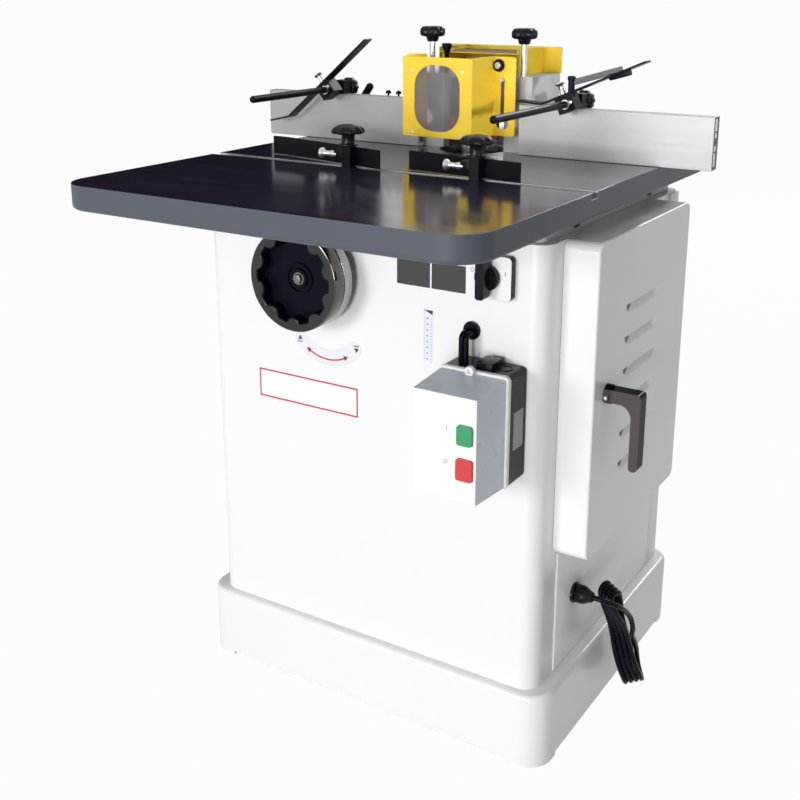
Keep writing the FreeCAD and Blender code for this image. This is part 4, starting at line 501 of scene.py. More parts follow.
# Painted shade: dark brown for the hood's roof, standing for the shaded inside of the hood
HOOD_PAINTED_SHADE = gloss_paint("hood_painted_shade", srgb(92, 68, 34), 0.5, coat=0.0, Specular_IOR_Level=0.2)
DARK_STEEL = machined("dark_steel", (0.16, 0.16, 0.16), 0.4, (1, 1, 1))


# Camera, light and stage

def make_camera():
    data = bpy.data.cameras.new("camera")
    data.lens = CAMERA_LENS
    data.sensor_width = CAMERA_SENSOR
    data.shift_y = CAMERA_SHIFT
    made = link("camera", data)
    level = math.cos(CAMERA_ELEVATION)
    across = math.sin(CAMERA_AZIMUTH) * level
    behind = -math.cos(CAMERA_AZIMUTH) * level
    back = Vector((across, behind, math.sin(CAMERA_ELEVATION)))
    made.location = CAMERA_PLACE
    made.rotation_mode = "QUATERNION"
    made.rotation_quaternion = (-back).to_track_quat("-Z", "Y")
    bpy.context.scene.camera = made


def seen_directly(tree):
    """1 for camera, glossy and transmission rays, 0 for the rest."""
    path = tree.nodes.new("ShaderNodeLightPath")
    total = path.outputs["Is Camera Ray"]
    for name in ("Is Glossy Ray", "Is Transmission Ray"):
        both = tree.nodes.new("ShaderNodeMath")
        both.operation = "MAXIMUM"
        tree.links.new(total, both.inputs[0])
        tree.links.new(path.outputs[name], both.inputs[1])
        total = both.outputs[0]
    return total


def make_world(horizon, zenith):
    """Soft light all round, stronger from above, before a white background."""
    world = bpy.data.worlds.new("studio")
    world.use_nodes = True
    bpy.context.scene.world = world
    tree = world.node_tree
    fill = tree.nodes["Background"]
    fill.inputs["Color"].default_value = (0.95, 0.975, 1.0, 1.0)
    place = tree.nodes.new("ShaderNodeTexCoord")
    apart = tree.nodes.new("ShaderNodeSeparateXYZ")
    tree.links.new(place.outputs["Generated"], apart.inputs["Vector"])
    climb = tree.nodes.new("ShaderNodeMapRange")
    climb.inputs["To Min"].default_value = horizon
    climb.inputs["To Max"].default_value = zenith
    tree.links.new(apart.outputs["Z"], climb.inputs["Value"])
    tree.links.new(climb.outputs["Result"], fill.inputs["Strength"])
    white = tree.nodes.new("ShaderNodeBackground")
    white.inputs["Color"].default_value = (1, 1, 1, 1)
    mix = tree.nodes.new("ShaderNodeMixShader")
    tree.links.new(seen_directly(tree), mix.inputs["Fac"])
    tree.links.new(fill.outputs[0], mix.inputs[1])
    tree.links.new(white.outputs[0], mix.inputs[2])
    tree.links.new(mix.outputs[0], tree.nodes["World Output"].inputs["Surface"])


def plane(name, corners, material):
    mesh = bpy.data.meshes.new(name)
    mesh.from_pydata([tuple(corner) for corner in corners], [], [(0, 1, 2, 3)])
    mesh.materials.append(material)
    made = link(name, mesh)
    return made


def make_floor(reach, white_share):
    floor = bpy.data.materials.new("floor")
    floor.use_nodes = True
    tree = floor.node_tree
    tree.nodes.remove(tree.nodes["Principled BSDF"])
    matt = tree.nodes.new("ShaderNodeBsdfDiffuse")
    matt.inputs["Color"].default_value = (0.6, 0.6, 0.6, 1)
    glow = tree.nodes.new("ShaderNodeEmission")
    share = tree.nodes.new("ShaderNodeMath")
    share.operation = "MULTIPLY"
    share.inputs[1].default_value = white_share
    tree.links.new(seen_directly(tree), share.inputs[0])
    mix = tree.nodes.new("ShaderNodeMixShader")
    tree.links.new(share.outputs[0], mix.inputs["Fac"])
    tree.links.new(matt.outputs[0], mix.inputs[1])
    tree.links.new(glow.outputs[0], mix.inputs[2])
    tree.links.new(mix.outputs[0], tree.nodes["Material Output"].inputs["Surface"])
    corners = [(-reach, -reach, 0), (reach, -reach, 0), (reach, reach, 0), (-reach, reach, 0)]
    plane("floor", corners, floor)


def make_flag(distance, height, start, end):
    """A dark studio panel behind the part, seen only in its glossy faces."""
    dark = bpy.data.materials.new("flag")
    dark.use_nodes = True
    shader = dark.node_tree.nodes["Principled BSDF"]
    shader.inputs["Base Color"].default_value = (0.004, 0.004, 0.006, 1)
    shader.inputs["Specular IOR Level"].default_value = 0
    foot = []
    for degrees in (start, end):
        angle = math.radians(degrees)
        foot.append(Vector((-math.sin(angle), math.cos(angle), 0)) * distance)
    panel = plane("flag", [foot[0], foot[1], foot[1] + Z * height, foot[0] + Z * height], dark)
    panel.visible_camera = False
    panel.visible_diffuse = False
    panel.visible_shadow = False
    panel.visible_transmission = False


def make_lamp(name, place, target, width, height, watts, spread):
    data = bpy.data.lights.new(name, "AREA")
    data.spread = math.radians(spread)
    data.shape = "RECTANGLE"
    data.size = width
    data.size_y = height
    data.energy = watts
    made = link(name, data)
    made.location = place
    made.rotation_mode = "QUATERNION"
    made.rotation_quaternion = (Vector(target) - Vector(place)).to_track_quat("-Z", "Y")


# Mains cord

def hank_place(down, across, layer):
    """A point of the hank: how far down it, how far to its side, and in which layer."""
    along = (HANK_END - HANK_TOP).normalized()
    out = (X - along * X.dot(along)).normalized()
    side = out.cross(along)
    turn = HANK_TWIST * (1 - 2 * down / (HANK_FOOT + HANK_FOOT_HALF))
    lift = ((HANK_LOOPS - 1) / 2 - layer) * HANK_STEP
    wide = across * math.cos(turn) - lift * math.sin(turn)
    high = across * math.sin(turn) + lift * math.cos(turn)
    return HANK_TOP + along * down + side * wide + out * high


def hank_half(down):
    """Half the hank's width at a distance down it: crown, drawn-in waist and wide foot."""
    if down < HANK_WAIST:
        share = (HANK_WAIST - down) / (HANK_WAIST - HANK_CROWN)
        wide = HANK_CROWN_HALF
    else:
        share = (down - HANK_WAIST) / (HANK_FOOT - HANK_WAIST)
        wide = HANK_FOOT_HALF
    share = max(0.0, min(1.0, share))
    return HANK_WAIST_HALF + (wide - HANK_WAIST_HALF) * (0.5 - 0.5 * math.cos(math.pi * share))


def hank_points():
    run = 4
    bow = 5
    points = []
    for layer in range(HANK_LOOPS):
        for index in range(1, run + 1):
            down = HANK_WAIST + (HANK_FOOT - HANK_WAIST) * index / run
            points.append(hank_place(down, hank_half(down), layer))
        for index in range(1, bow + 1):
            angle = math.pi * index / (bow + 1)
            points.append(hank_place(HANK_FOOT + HANK_FOOT_HALF * 1.15 * math.sin(angle),
                                     HANK_FOOT_HALF * 1.05 * math.cos(angle), layer))
        for index in range(2 * run + 1):
            down = HANK_FOOT - (HANK_FOOT - HANK_CROWN) * index / (2 * run)
            points.append(hank_place(down, -hank_half(down), layer))
        for index in range(1, bow + 1):
            angle = math.pi * index / (bow + 1)
            climb = layer + index / (bow + 1)
            points.append(hank_place(HANK_CROWN - HANK_CROWN_HALF * 1.15 * math.sin(angle),
                                     -HANK_CROWN_HALF * 1.05 * math.cos(angle), climb))
        for index in range(run):
            down = HANK_CROWN + (HANK_WAIST - HANK_CROWN) * index / run
            points.append(hank_place(down, hank_half(down), layer + 1))
    return points


def make_cord():
    along = (HANK_END - HANK_TOP).normalized()
    start = hank_place(HANK_WAIST, HANK_WAIST_HALF, -1)
    lead = [GLAND_TIP, GLAND_TIP + X * LEAD_RUN, start - along * LEAD_RUN, start]
    points = lead + hank_points()
    curve = bpy.data.curves.new("mains_cord", "CURVE")
    curve.dimensions = "3D"
    curve.bevel_depth = CORD_RADIUS
    curve.bevel_resolution = 5
    curve.resolution_u = 6
    curve.use_fill_caps = True
    spline = curve.splines.new("NURBS")
    spline.points.add(len(points) - 1)
    for control, place in zip(spline.points, points):
        control.co = (*place, 1)
    spline.order_u = 3
    spline.use_endpoint_u = True
    spline.use_smooth = True
    curve.materials.append(MATERIALS["cord_rubber"])
    made = link("mains_cord", curve)
    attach(made, "stand")
    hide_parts("cord_lead", "cord_hank")


# Lamps: place, target, width and height in metres, watts, and spread in degrees
LAMPS = {
    "key": ((-1.2, -5.1, 1.5), (0, 0, 0.55), 1.4, 1.2, 101, 180),
    "front_fill": ((0.85, -5.1, 0.6), (0.1, 0, 0.5), 1.3, 1.1, 112, 180),
    "fence_fill": ((2.5, -0.7, 1.3), (0.03, 0.14, 1.02), 0.4, 0.16, 0.14, 9),
    "rear_fill": ((0.35, 5.2, 3.6), (0, 0, 0.5), 1.6, 1.2, 110, 180),
}

make_camera()
make_cord()
make_world(horizon=0.13, zenith=0.49)
make_floor(reach=150.0, white_share=0.96)
make_flag(distance=4.0, height=2.8, start=34, end=84)
for lamp, settings in LAMPS.items():
    make_lamp(lamp, *settings)

# Nodes that keep their shape, with the width of their rounded edges in millimetres
EDGES = {
    "plinth": 1.0, "cabinet_shell": 0.8, "top_frame": 1.2, "table_ring": 0.8,
    "slide_column": 1.5, "wheel_bush": 0.8, "starter_base": 2.0, "starter_cable": 0,
    "cable_grommet": 2.0, "door_hinges": 0.6, "carriage": 2.0, "spindle_bearings": 0.8,
    "motor": 1.0, "drive_belt": 0.8, "spindle_shaft": 0.8, "spindle_pulley": 0.8,
    "cutter_block": 0.6, "spacer_collars": 0.6, "spindle_nut": 1.0, "motor_shaft": 0.8,
    "motor_pulley": 1.0, "wheel_shaft": 0.8, "lead_screw": 0.8, "fence_housing": 3.0,
    "front_guard": 0.6, "guard_window": 0.6, "motor_door": 0.6, "start_button": 1.4,
    "stop_button": 1.4, "switch_knob": 1.6, "left_lock_lever": 1.0, "right_lock_lever": 1.0,
}
for side in SIDES:
    EDGES[side + "_rod"] = 1.2
    EDGES[side + "_hold_down_clamp"] = 2.5
    EDGES[side + "_pressure_post"] = 1.2
    EDGES[side + "_pressure_spring"] = 0.6
for node, width in EDGES.items():
    dress(node, width)
# Latch: black, with painted light in a lighter brown-grey on its front-facing faces
paint_faces(dress("door_latch", 4.0, 4, LATCH_BLACK), LATCH_PAINTED_LIGHT,
            lambda centre, normal: normal.y < -0.75)
dress("right_hold_down_spring", 0.6)
paint_faces(dress("left_hold_down_spring", 0.6), LEAF_GREY,
            lambda centre, normal: normal.z < -0.5 and centre.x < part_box("left_hold_down_clamp")[0].x)
# Rear hood: its upward faces below the rim are dark brown, painted shade of the hood's inside
paint_faces(dress("rear_hood", 0.6), HOOD_PAINTED_SHADE,
            lambda centre, normal: normal.z > 0.5 and centre.z < HOOD_HIGH.z - 4 * MM)


# Table: ground iron with bright slot walls and painted sides

def dress_table():
    made = dress("table", 1.6)
    slot_low = TOP_Z - 12 * MM
    edge = 5 * MM

    def in_slot(centre, normal):
        inside = abs(centre.x) < TABLE_HIGH.x - edge and slot_low < centre.z < TOP_Z - MM
        return inside and normal.y < -0.5 and centre.y < 0

    paint_faces(made, TABLE_PAINT, lambda centre, normal: normal.z < 0.6)
    paint_faces(made, SLOT_STEEL, in_slot)


# Hand wheel: dark polished face, two chrome bands round it, the front one darker as painted reflection
# of the shade beside the wheel, and a bolt in the cup

def dress_wheel():
    radius = (WHEEL_HIGH.x - WHEEL_LOW.x) / 2
    depth = WHEEL_HIGH.y - WHEEL_LOW.y
    centre = Vector((WHEEL_CENTRE.x, WHEEL_LOW.y, WHEEL_CENTRE.z))
    core = radius - 1.6 * MM
    inner = core - MM
    groove = 0.56 * depth
    gap = 1.6 * MM
    end = 0.4 * MM
    soft = 1.2 * MM
    bend = 0.3 * soft
    cup_floor = 20 * MM
    bolt_seat = 18 * MM

    def slimmer(place):
        spoke = Vector((place.x - centre.x, 0, place.z - centre.z))
        if spoke.length < radius - MM:
            return place
        return centre + spoke.normalized() * core + Y * (place.y - centre.y)

    dress("hand_wheel", 1.2, material=WHEEL_FACE, reshape=slimmer)
    dress("wheel_cup", 0.9, material=CUP_BLACK)
    # The front band is darker chrome: painted reflection of the shaded cabinet front beside the wheel
    tones = {"front": CHROME_PAINTED_DARK_REFLECTION, "rear": MATERIALS["wheel_chrome"]}
    spans = {"front": (end, groove - gap / 2), "rear": (groove + gap / 2, depth - end)}
    for name, (low, high) in spans.items():
        front_edge = [(radius - soft, low), (radius - bend, low + bend), (radius, low + soft)]
        rear_edge = [(radius, high - soft), (radius - bend, high - bend), (radius - soft, high)]
        single("wheel_band_" + name, "wheel", "wheel_chrome", tones[name],
               ring, [(inner, low)] + front_edge + rear_edge + [(inner, high)], centre, Y, 96)
    outline = mm((25, 0.2), (25, -2.4), (24.2, -3.2), (21.6, -3.2), (21, -2.6), (20.6, 0.2))
    single("wheel_hub_ring", "wheel", "black_plastic", CUP_BLACK,
           ring, outline, centre + Y * cup_floor, Y, 72)
    single("wheel_bolt", "wheel", "bright_steel", DARK_STEEL,
           hex_bolt, centre + Y * bolt_seat, -Y, 8 * MM, 5 * MM, 10.5 * MM)


# Marks beside the buttons and the switch

def bar_mark(bm, place):
    slab(bm, mm_box(1, 6, 0.4, 3), place, X, Z, MARK_RISE)


def loop_mark(bm, place, inner):
    hoop(bm, arc(0, 0, 3 * MM, 0, 350, 24), arc(0, 0, inner, 0, 350, 24), place, X, Z, MARK_RISE)


# Starter: white face and rim, smoky sides, lug, knock-out and bare plate

def dress_starter():
    rim = COVER_HIGH.y - 7.2 * MM
    face = COVER_LOW.y + 1.6 * MM
    middle = (COVER_LOW.x + COVER_HIGH.x) / 2
    base = (BASE_LOW + BASE_HIGH) / 2
    wide = BASE_HIGH.x - BASE_LOW.x - MM
    tall = BASE_HIGH.z - BASE_LOW.z - MM
    white = MATERIALS["white_plastic"]
    made = dress("starter_cover", 0.8, tidy=3.0)
    paint_faces(made, white, lambda centre, normal: centre.y > rim or centre.y < face)
    inner = [(u, v - MM) for u, v in mm_box(100, 155, 1.5)]
    trim_place = Vector((middle, COVER_HIGH.y - 3 * MM, base.z))
    single("starter_trim", "stand", "white_plastic", white,
           hoop, rounded_box(wide, tall, 4 * MM), inner, trim_place, X, Z, 5 * MM)
    lug_place = Vector((middle - 2.7 * MM, COVER_HIGH.y - 10.5 * MM, COVER_HIGH.z + 1.3 * MM))
    single("starter_lug", "stand", "white_plastic", white,
           lathe, mm((7.3, 0), (7.3, 6), (6.5, 7), (3.4, 7), (3.2, 5), (0.2, 5)), lug_place, -Y, 28)
    single("starter_lug_screw", "stand", "bright_steel", ZINC,
           pan_screw, lug_place - Y * 5 * MM, -Y, 3 * MM, 1.6 * MM)
    block = Vector((middle + 9 * MM, base.y - 2 * MM, BASE_HIGH.z - 0.5 * MM))
    top = bmesh.new()
    slab(top, mm_box(26, 34, 2), block, X, Y, 10 * MM, 1.5 * MM)
    knock_out = Vector((middle + 34 * MM, base.y, BASE_HIGH.z - 0.3 * MM))
    lathe(top, mm((11, 0), (11, 1.4), (9.8, 1.4), (9.4, 0.6), (0.2, 0.6)), knock_out, Z, 36)
    piece("starter_top", top, "stand", "black_plastic")
    plate_place = Vector((BASE_HIGH.x, base.y, BASE_LOW.z + 84 * MM))
    single("starter_plate", "stand", "cover_plastic", GREY_PLATE,
           slab, mm_box(30, 58, 1.5), plate_place, Y, Z, 0.4 * MM)
    marks = bmesh.new()
    aside = 16 * MM
    above = 6 * MM
    places = {}
    for node in ("start_button", "stop_button"):
        low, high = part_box(node)
        places[node] = Vector((low.x - aside, COVER_LOW.y, (low.z + high.z) / 2 + above))
    bar_mark(marks, places["start_button"])
    loop_mark(marks, places["stop_button"], 2.2 * MM)
    piece("starter_marks", marks, "stand", "black_plastic", BLACK_INK)


# Rotary switch: dark body with a white front, a ring and a bar as its marks

def dress_switch():
    front = SWITCH_LOW.y
    made = dress("switch_body", 1.6, material=MATERIALS["black_plastic"])
    paint_faces(made, MATERIALS["white_plastic"], lambda centre, normal: centre.y < front + 0.6 * MM)
    middle = (DIAL_LOW + DIAL_HIGH) / 2
    above = 8 * MM
    marks = bmesh.new()
    loop_mark(marks, Vector((middle.x - 26 * MM, front, middle.z + above)), 2.3 * MM)
    bar_mark(marks, Vector((middle.x + 27 * MM, front, middle.z + above)))
    piece("switch_marks", marks, "stand", "black_plastic", BLACK_INK)


# Plates and strips on the cabinet's front

def front_place(x, z, rise=0.0):
    return Vector((x * MM, FRONT_Y - rise, z * MM))


def make_red_plate():
    plate = (-110.5, 544.5)
    single("red_bordered_plate", "stand", "white_plastic", WHITE_FILM,
           slab, mm_box(203, 52, 2), front_place(*plate), X, Z, FILM)
    red = bmesh.new()
    hoop(red, mm_box(201, 50, 1.5), mm_box(195, 44, 0.8), front_place(*plate, FILM), X, Z, INK)
    on_label = front_place(*TURN_CENTRE, FILM)
    line = arc(0, 0, 75.4 * MM, 238, 298, 24) + arc(0, 0, 72.6 * MM, 298, 238, 24)
    slab(red, line, on_label, X, Z, INK)
    for angle, turn in ((240, -1), (296, 1)):
        foot = angle - turn
        head = [polar(74 * MM, angle + 6 * turn), polar(78.8 * MM, foot), polar(69.2 * MM, foot)]
        slab(red, head if turn < 0 else head[::-1], on_label, X, Z, INK)
    piece("red_marks", red, "stand", "red_plastic", RED_INK)


def make_turn_label():
    single("turn_label_rim", "stand", "white_plastic", BLUE_FILM,
           slab, band(71 * MM, 13 * MM, 222, 317), front_place(*TURN_CENTRE), X, Z, FILM * 0.6)
    single("turn_label", "stand", "white_plastic", LABEL_FILM,
           slab, band(71 * MM, 12.2 * MM, 222, 317), front_place(*TURN_CENTRE), X, Z, FILM)


def make_front_ink():
    ink = bmesh.new()
    for angle, turn in ((220, 1), (319, -1)):
        across, up = polar(73 * MM, angle)
        spot = front_place(*TURN_CENTRE, FILM) + X * across + Z * up
        head = mm((-4.5, -2 * turn), (4.5, -2 * turn), (0, 6 * turn))
        slab(ink, head if turn > 0 else head[::-1], spot, X, Z, INK)
        slab(ink, mm_box(10, 1.6, 0.4, 3), spot - Z * 5.5 * MM * turn, X, Z, INK)
    top = 708
    for index in range(8):
        slab(ink, mm_box(2.2, 2.2, 0.6, 3), front_place(119, top - 9.2 * index, FILM), X, Z, INK)
    for index in range(16):
        slab(ink, mm_box(2.6, 0.5, 0.2, 2), front_place(126, top - 4.6 * index, FILM), X, Z, INK)
    slab(ink, mm((-8, 0), (7.6, -7), (7.6, 0)), front_place(120.5, 721, FILM), X, Z, INK)
    piece("front_ink", ink, "stand", "black_plastic", BLACK_INK)


def make_scale_and_plates():
    single("height_scale", "stand", "white_plastic", LABEL_FILM,
           slab, mm_box(17, 84, 1), front_place(120.5, 682), X, Z, FILM)
    single("height_scale_edge", "stand", "white_plastic", BLUE_FILM,
           slab, mm_box(2.4, 82, 0.6), front_place(113.9, 682, FILM), X, Z, 0.08 * MM)
    dark = bmesh.new()
    for x in (93.5, 154.5):
        slab(dark, mm_box(58, 41, 1.2), front_place(x, 776), X, Z, FILM)
    piece("front_plates", dark, "stand", "black_plastic", DARK_PLATE)


# Fence: knobs with zinc stems, small post, guard screws, bolts in the base and board end caps

def make_fence_knobs():
    grip_tall = 27 * MM
    neck = mm((7, 0), (9, 0.5), (10.5, 5), (11.5, 8.5))
    rim = mm((17, 9), (20.4, 10.2), (22.2, 13), (22.5, 17), (22, 21.5), (20, 24.6), (16.5, 26.4))
    crown = mm((9, 27), (0.3, 27))
    rim_radius = 22.5 * MM
    for side in SIDES:
        low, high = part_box(side + "_fence_knob")
        centre = (low + high) / 2
        size = (high.x - low.x) / 2 / rim_radius
        foot = Vector((centre.x, centre.y, low.z))
        grip = high.z - low.z - grip_tall
        single(side + "_fence_stem", side + "_top_knob", "bright_steel", ZINC,
               lathe, [(5 * MM, 0), (5 * MM, grip + 2 * MM)], foot, Z, 32)
        profile = neck + [(radius * size, height) for radius, height in rim] + crown
        made = single(side + "_fence_grip", side + "_top_knob", "black_plastic", None,
                      lathe, profile, foot + Z * grip, Z, 160, lobes(10, 0.13, 11.6 * MM), degrees=50)
        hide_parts(side + "_fence_knob")
    place = Vector((-61 * MM, FENCE_REAR + 10.6 * MM, HOUSING_HIGH.z + 2 * MM))
    outline = mm((4.5, -4), (4.5, 30), (5.5, 36), (8.5, 42), (9, 44), (9, 47.5), (8, 49), (0.3, 49.4))
    single("hood_post", "fence", "black_steel", None, lathe, outline, place, Z, 40)


def make_guard_details():
    screws = bmesh.new()
    middle = (PANE_LOW.x + PANE_HIGH.x) / 2
    for x in (middle - 48 * MM, middle + 48 * MM):
        for z in (GUARD_LOW.z + 6 * MM, GUARD_HIGH.z - 23 * MM):
            pan_screw(screws, Vector((x, GUARD_LOW.y, z)), -Y, 2.5 * MM, 1.1 * MM)
    piece("guard_screws", screws, "guard", "bright_steel", ZINC)
    spot = Vector((61.5 * MM, GUARD_HIGH.y - 2 * MM, 1060.5 * MM))
    single("guard_collar", "guard", "black_plastic", None,
           lathe, mm((10.5, 0), (10.5, 2.2), (9.6, 3), (6.4, 3), (6.2, 1.5), (0.3, 1.5)), spot, -Y, 40)
    outline = mm((5.6, 0), (5.6, 5), (5, 5.7), (3, 5.7), (2.8, 3), (0.2, 2.8))
    single("guard_cap_screw", "guard", "bright_steel", ZINC, lathe, outline, spot - Y * 1.2 * MM, -Y, 36)
    # Guide plates behind the guard's slots, brown-grey as painted shade of the guard's inside seen
    # through the slots
    guides = bmesh.new()
    for x in (-99 * MM, 69 * MM):
        place = Vector((x, GUARD_HIGH.y + 8 * MM, 1012 * MM))
        slab(guides, mm_box(11, 66, 2), place, X, Z, 7.4 * MM, 0.5 * MM)
    piece("guard_guides", guides, "fence", "black_steel", GUIDE_PAINTED_SHADE)


def make_fence_bolts():
    bolts = bmesh.new()
    for x in (-180 * MM, 180 * MM):
        place = Vector((x, FENCE_REAR + 40 * MM, TOP_Z + 12 * MM))
        hex_bolt(bolts, place, Z, 9.5 * MM, 7 * MM, 14 * MM)
    piece("fence_bolts", bolts, "fence", "bright_steel", ZINC)
    frame_low, frame_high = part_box("top_frame")
    bolts = bmesh.new()
    for y in (-34 * MM, 270 * MM):
        for x, axis in ((frame_high.x, X), (frame_low.x, -X)):
            hex_bolt(bolts, Vector((x, y, frame_low.z + 12 * MM)), axis, 6.5 * MM, 4.5 * MM, 9 * MM)
    piece("frame_bolts", bolts, "stand", "bright_steel", DARK_STEEL)
    small = bmesh.new()
    outline = mm((1.8, -7), (1.8, 9), (5, 9.4), (5.2, 11.5), (4.2, 14), (2, 15.2), (0.2, 15.4))
    for x in (-180 * MM, -158 * MM):
        lathe(small, outline, Vector((x, FENCE_REAR + 5 * MM, TOP_Z + 78 * MM)), Z, 28)
    piece("wing_screws", small, "fence", "black_steel")


def dress_boards():
    cap = 0.7 * MM
    lower_by = 1.6 * MM
    near = 0.2 * MM
    margin = 0.4 * MM
    cover_thick = 0.4 * MM
    for side, sign in (("left", -1), ("right", 1)):
        node = side + "_fence_board"
        low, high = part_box(node)
        end = high.x if sign > 0 else low.x

        def shorter(place, end=end, sign=sign, base=low.z):
            place = place - X * sign * cap if abs(place.x - end) < near else place.copy()
            return place - Z * lower_by if abs(place.z - base) < near else place

        # The left board gets the darker copy of the same aluminium: painted shade
        metal = MATERIALS["board_aluminium"] if sign > 0 else LEFT_ALUMINIUM_PAINTED_SHADE
        dress(node, 0.8, material=metal, reshape=shorter)
        middle = Vector((end - sign * cap, (low.y + high.y) / 2, (low.z + high.z) / 2))
        along = Y if sign > 0 else -Y
        outline = rounded_box(high.y - low.y - margin, high.z - low.z - margin, 0.8 * MM)
        single(side + "_board_end", side + "_board", "black_plastic", None,
               slab, outline, middle, along, Z, cover_thick)
        inlay = bmesh.new()
        for upper, lower in ((3, 22), (25, 32.5), (45, 53), (56, 77)):
            height = high.z - (upper + lower) / 2 * MM
            place = Vector((middle.x + sign * cover_thick, middle.y - 3.6 * MM, height))
            slab(inlay, mm_box(9, lower - upper, 1.2), place, along, Z, 0.2 * MM)
        piece(side + "_board_inlay", inlay, side + "_board", "board_aluminium", WHITE_FILM)


# Hold-downs and pressure posts: clamp screws, upper leaf, lobed knobs and side screws

def thumb_screw(bm, root, axis, length, radius):
    """A screw with a wide turned end, like those that lock the bars and strips."""
    shares = ((0.9, 0.3), (0.72, 0.34), (0.72, 0.72), (0.8, 0.76), (1.25, 0.84), (1.45, 0.92),
              (1.4, 0.98), (1.2, 1), (0.1, 1))
    profile = [(0.9 * radius, -2 * MM)] + [(wide * radius, along * length) for wide, along in shares]
    lathe(bm, profile, root, axis, 32)


def make_hold_down_details():
    turns = {"left": 39.8, "right": 23.0}
    grip_tall = 18 * MM
    grip = ((0.5, 0), (0.8, 0.5), (0.94, 2), (1, 5), (1, 12), (0.95, 15.5), (0.82, 17.4), (0.5, 18),
            (0.02, 18))
    tip_outline = mm((6, -1), (6, 0), (5.64, 1.8), (4.44, 3.6), (2.4, 4.8), (0.18, 5.2))
    for side in SIDES:
        low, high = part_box(side + "_hold_down_clamp")
        rod_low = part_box(side + "_rod")[0]
        knob_low, knob_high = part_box(side + "_hold_down_knob")
        centre = (knob_low + knob_high) / 2
        axis_place = Vector((centre.x, (low.y + high.y) / 2, centre.z))
        clamp_face = Vector((centre.x, low.y, centre.z))
        angle = math.radians(turns[side])
        rise = Vector((-math.sin(angle), 0, math.cos(angle)))
        run = Vector((math.cos(angle), 0, math.sin(angle)))
        screw = bmesh.new()
        thumb_screw(screw, axis_place + rise * 16.5 * MM - run * 3 * MM, rise, 20 * MM, 5.6 * MM)
        ring(screw, mm((6.2, 0), (7.6, 0), (7.6, 1.2), (6.2, 1.2)), clamp_face, -Y, 40)
        lathe(screw, mm((3, -1), (3, 2.4), (2.4, 3), (0.2, 3)), clamp_face + run * 10.5 * MM, -Y, 20)
        piece(side + "_clamp_screw", screw, side + "_arm", "bright_steel", ZINC)
        radius = (knob_high.x - knob_low.x) / 2
        start = Vector((centre.x, knob_high.y - grip_tall, centre.z))
        shank = [(4 * MM, knob_low.y - start.y), (4 * MM, 0)]
        profile = shank + [(share * radius, height * MM) for share, height in grip]
        made = single(side + "_hold_down_grip", side + "_rod_knob", "black_plastic", None,
                      lathe, profile, start, Y, 144, lobes(10, 0.12, 0.55 * radius), degrees=50)
        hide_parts(side + "_hold_down_knob")
        tip_place = Vector((centre.x, rod_low.y + 1.2 * MM, centre.z))
        single(side + "_rod_tip", side + "_board", "black_steel", None,
               lathe, tip_outline, tip_place, -Y, 36, degrees=60)


def make_right_leaf():
    low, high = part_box("right_hold_down_clamp")
    middle_y = (low.y + high.y) / 2
    foot = Vector((209 * MM, middle_y + 2 * MM, 1041 * MM))
    head = Vector((289 * MM, middle_y + 2 * MM, 1064.5 * MM))
    run = (head - foot).normalized()
    rise = run.cross(Y).normalized()
    outline = rounded_box((head - foot).length, 10 * MM, 1.6 * MM)
    single("right_upper_leaf", "right_arm", "bright_steel", LEAF_GREY,
           slab, outline, (foot + head) / 2, run, rise, 4 * MM, 0.5 * MM)
    clip_place = head - run * 6 * MM - rise * 7.5 * MM + Y * 6 * MM
    clip = bmesh.new()
    slab(clip, mm_box(34, 10, 2.5), clip_place, run, rise, 14 * MM, 1 * MM)
    stud = mm((7.5, 0), (7.5, 8), (5.5, 12), (5.5, 30), (6.6, 31), (6.6, 36), (5, 37.5), (0.2, 37.8))
    lathe(clip, stud, Vector((204 * MM, middle_y, 1013 * MM)), Z, 36)
    piece("right_leaf_clip", clip, "right_arm", "black_steel")


def make_post_details():
    stem = mm((5, 0), (14.4, 0), (15, 0.8), (14.6, 3), (10.8, 4.2), (10.2, 8), (10.4, 16))
    under = mm((12, 13), (17, 12))
    rim = mm((22.6, 13.4), (25.6, 13.8), (27.2, 12.4), (27.5, 10), (26, 7), (22.4, 4))
    crown = mm((16.4, 1.6), (9, 0.3), (0.3, 0))
    rim_radius = 27.5 * MM
    for side in SIDES:
        low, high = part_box(side + "_pressure_knob")
        centre = (low + high) / 2
        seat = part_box(side + "_pressure_post")[1].z + 0.3 * MM
        foot = Vector((centre.x, centre.y, seat))
        tall = high.z - seat
        size = (high.x - low.x) / 2 / rim_radius
        head = under + [(radius * size, drop) for radius, drop in rim] + crown
        profile = [(5 * MM, low.z - seat)] + stem + [(radius, tall - drop) for radius, drop in head]
        made = single(side + "_pressure_grip", side + "_post_knob", "black_plastic", None,
                      lathe, profile, foot, Z, 144, lobes(8, 0.16, 13.5 * MM), degrees=50)
        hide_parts(side + "_pressure_knob")
        jaw = Vector((centre.x - 14 * MM, centre.y - 9 * MM, TOP_Z + 19 * MM))
        single(side + "_post_jaw", side + "_post", "black_steel", None,
               slab, mm_box(16, 18, 2), jaw + Y * 16 * MM, X, Z, 16 * MM, 1 * MM)
        single(side + "_post_screw", side + "_post", "bright_steel", ZINC,
               thumb_screw, jaw + Y * 5 * MM - X * 6 * MM, -X, 31 * MM, 6.0 * MM)


# Door: dark sheets under the louvres' lips, for their slits and for painted shade at their front ends,
# and a pin in the latch's root

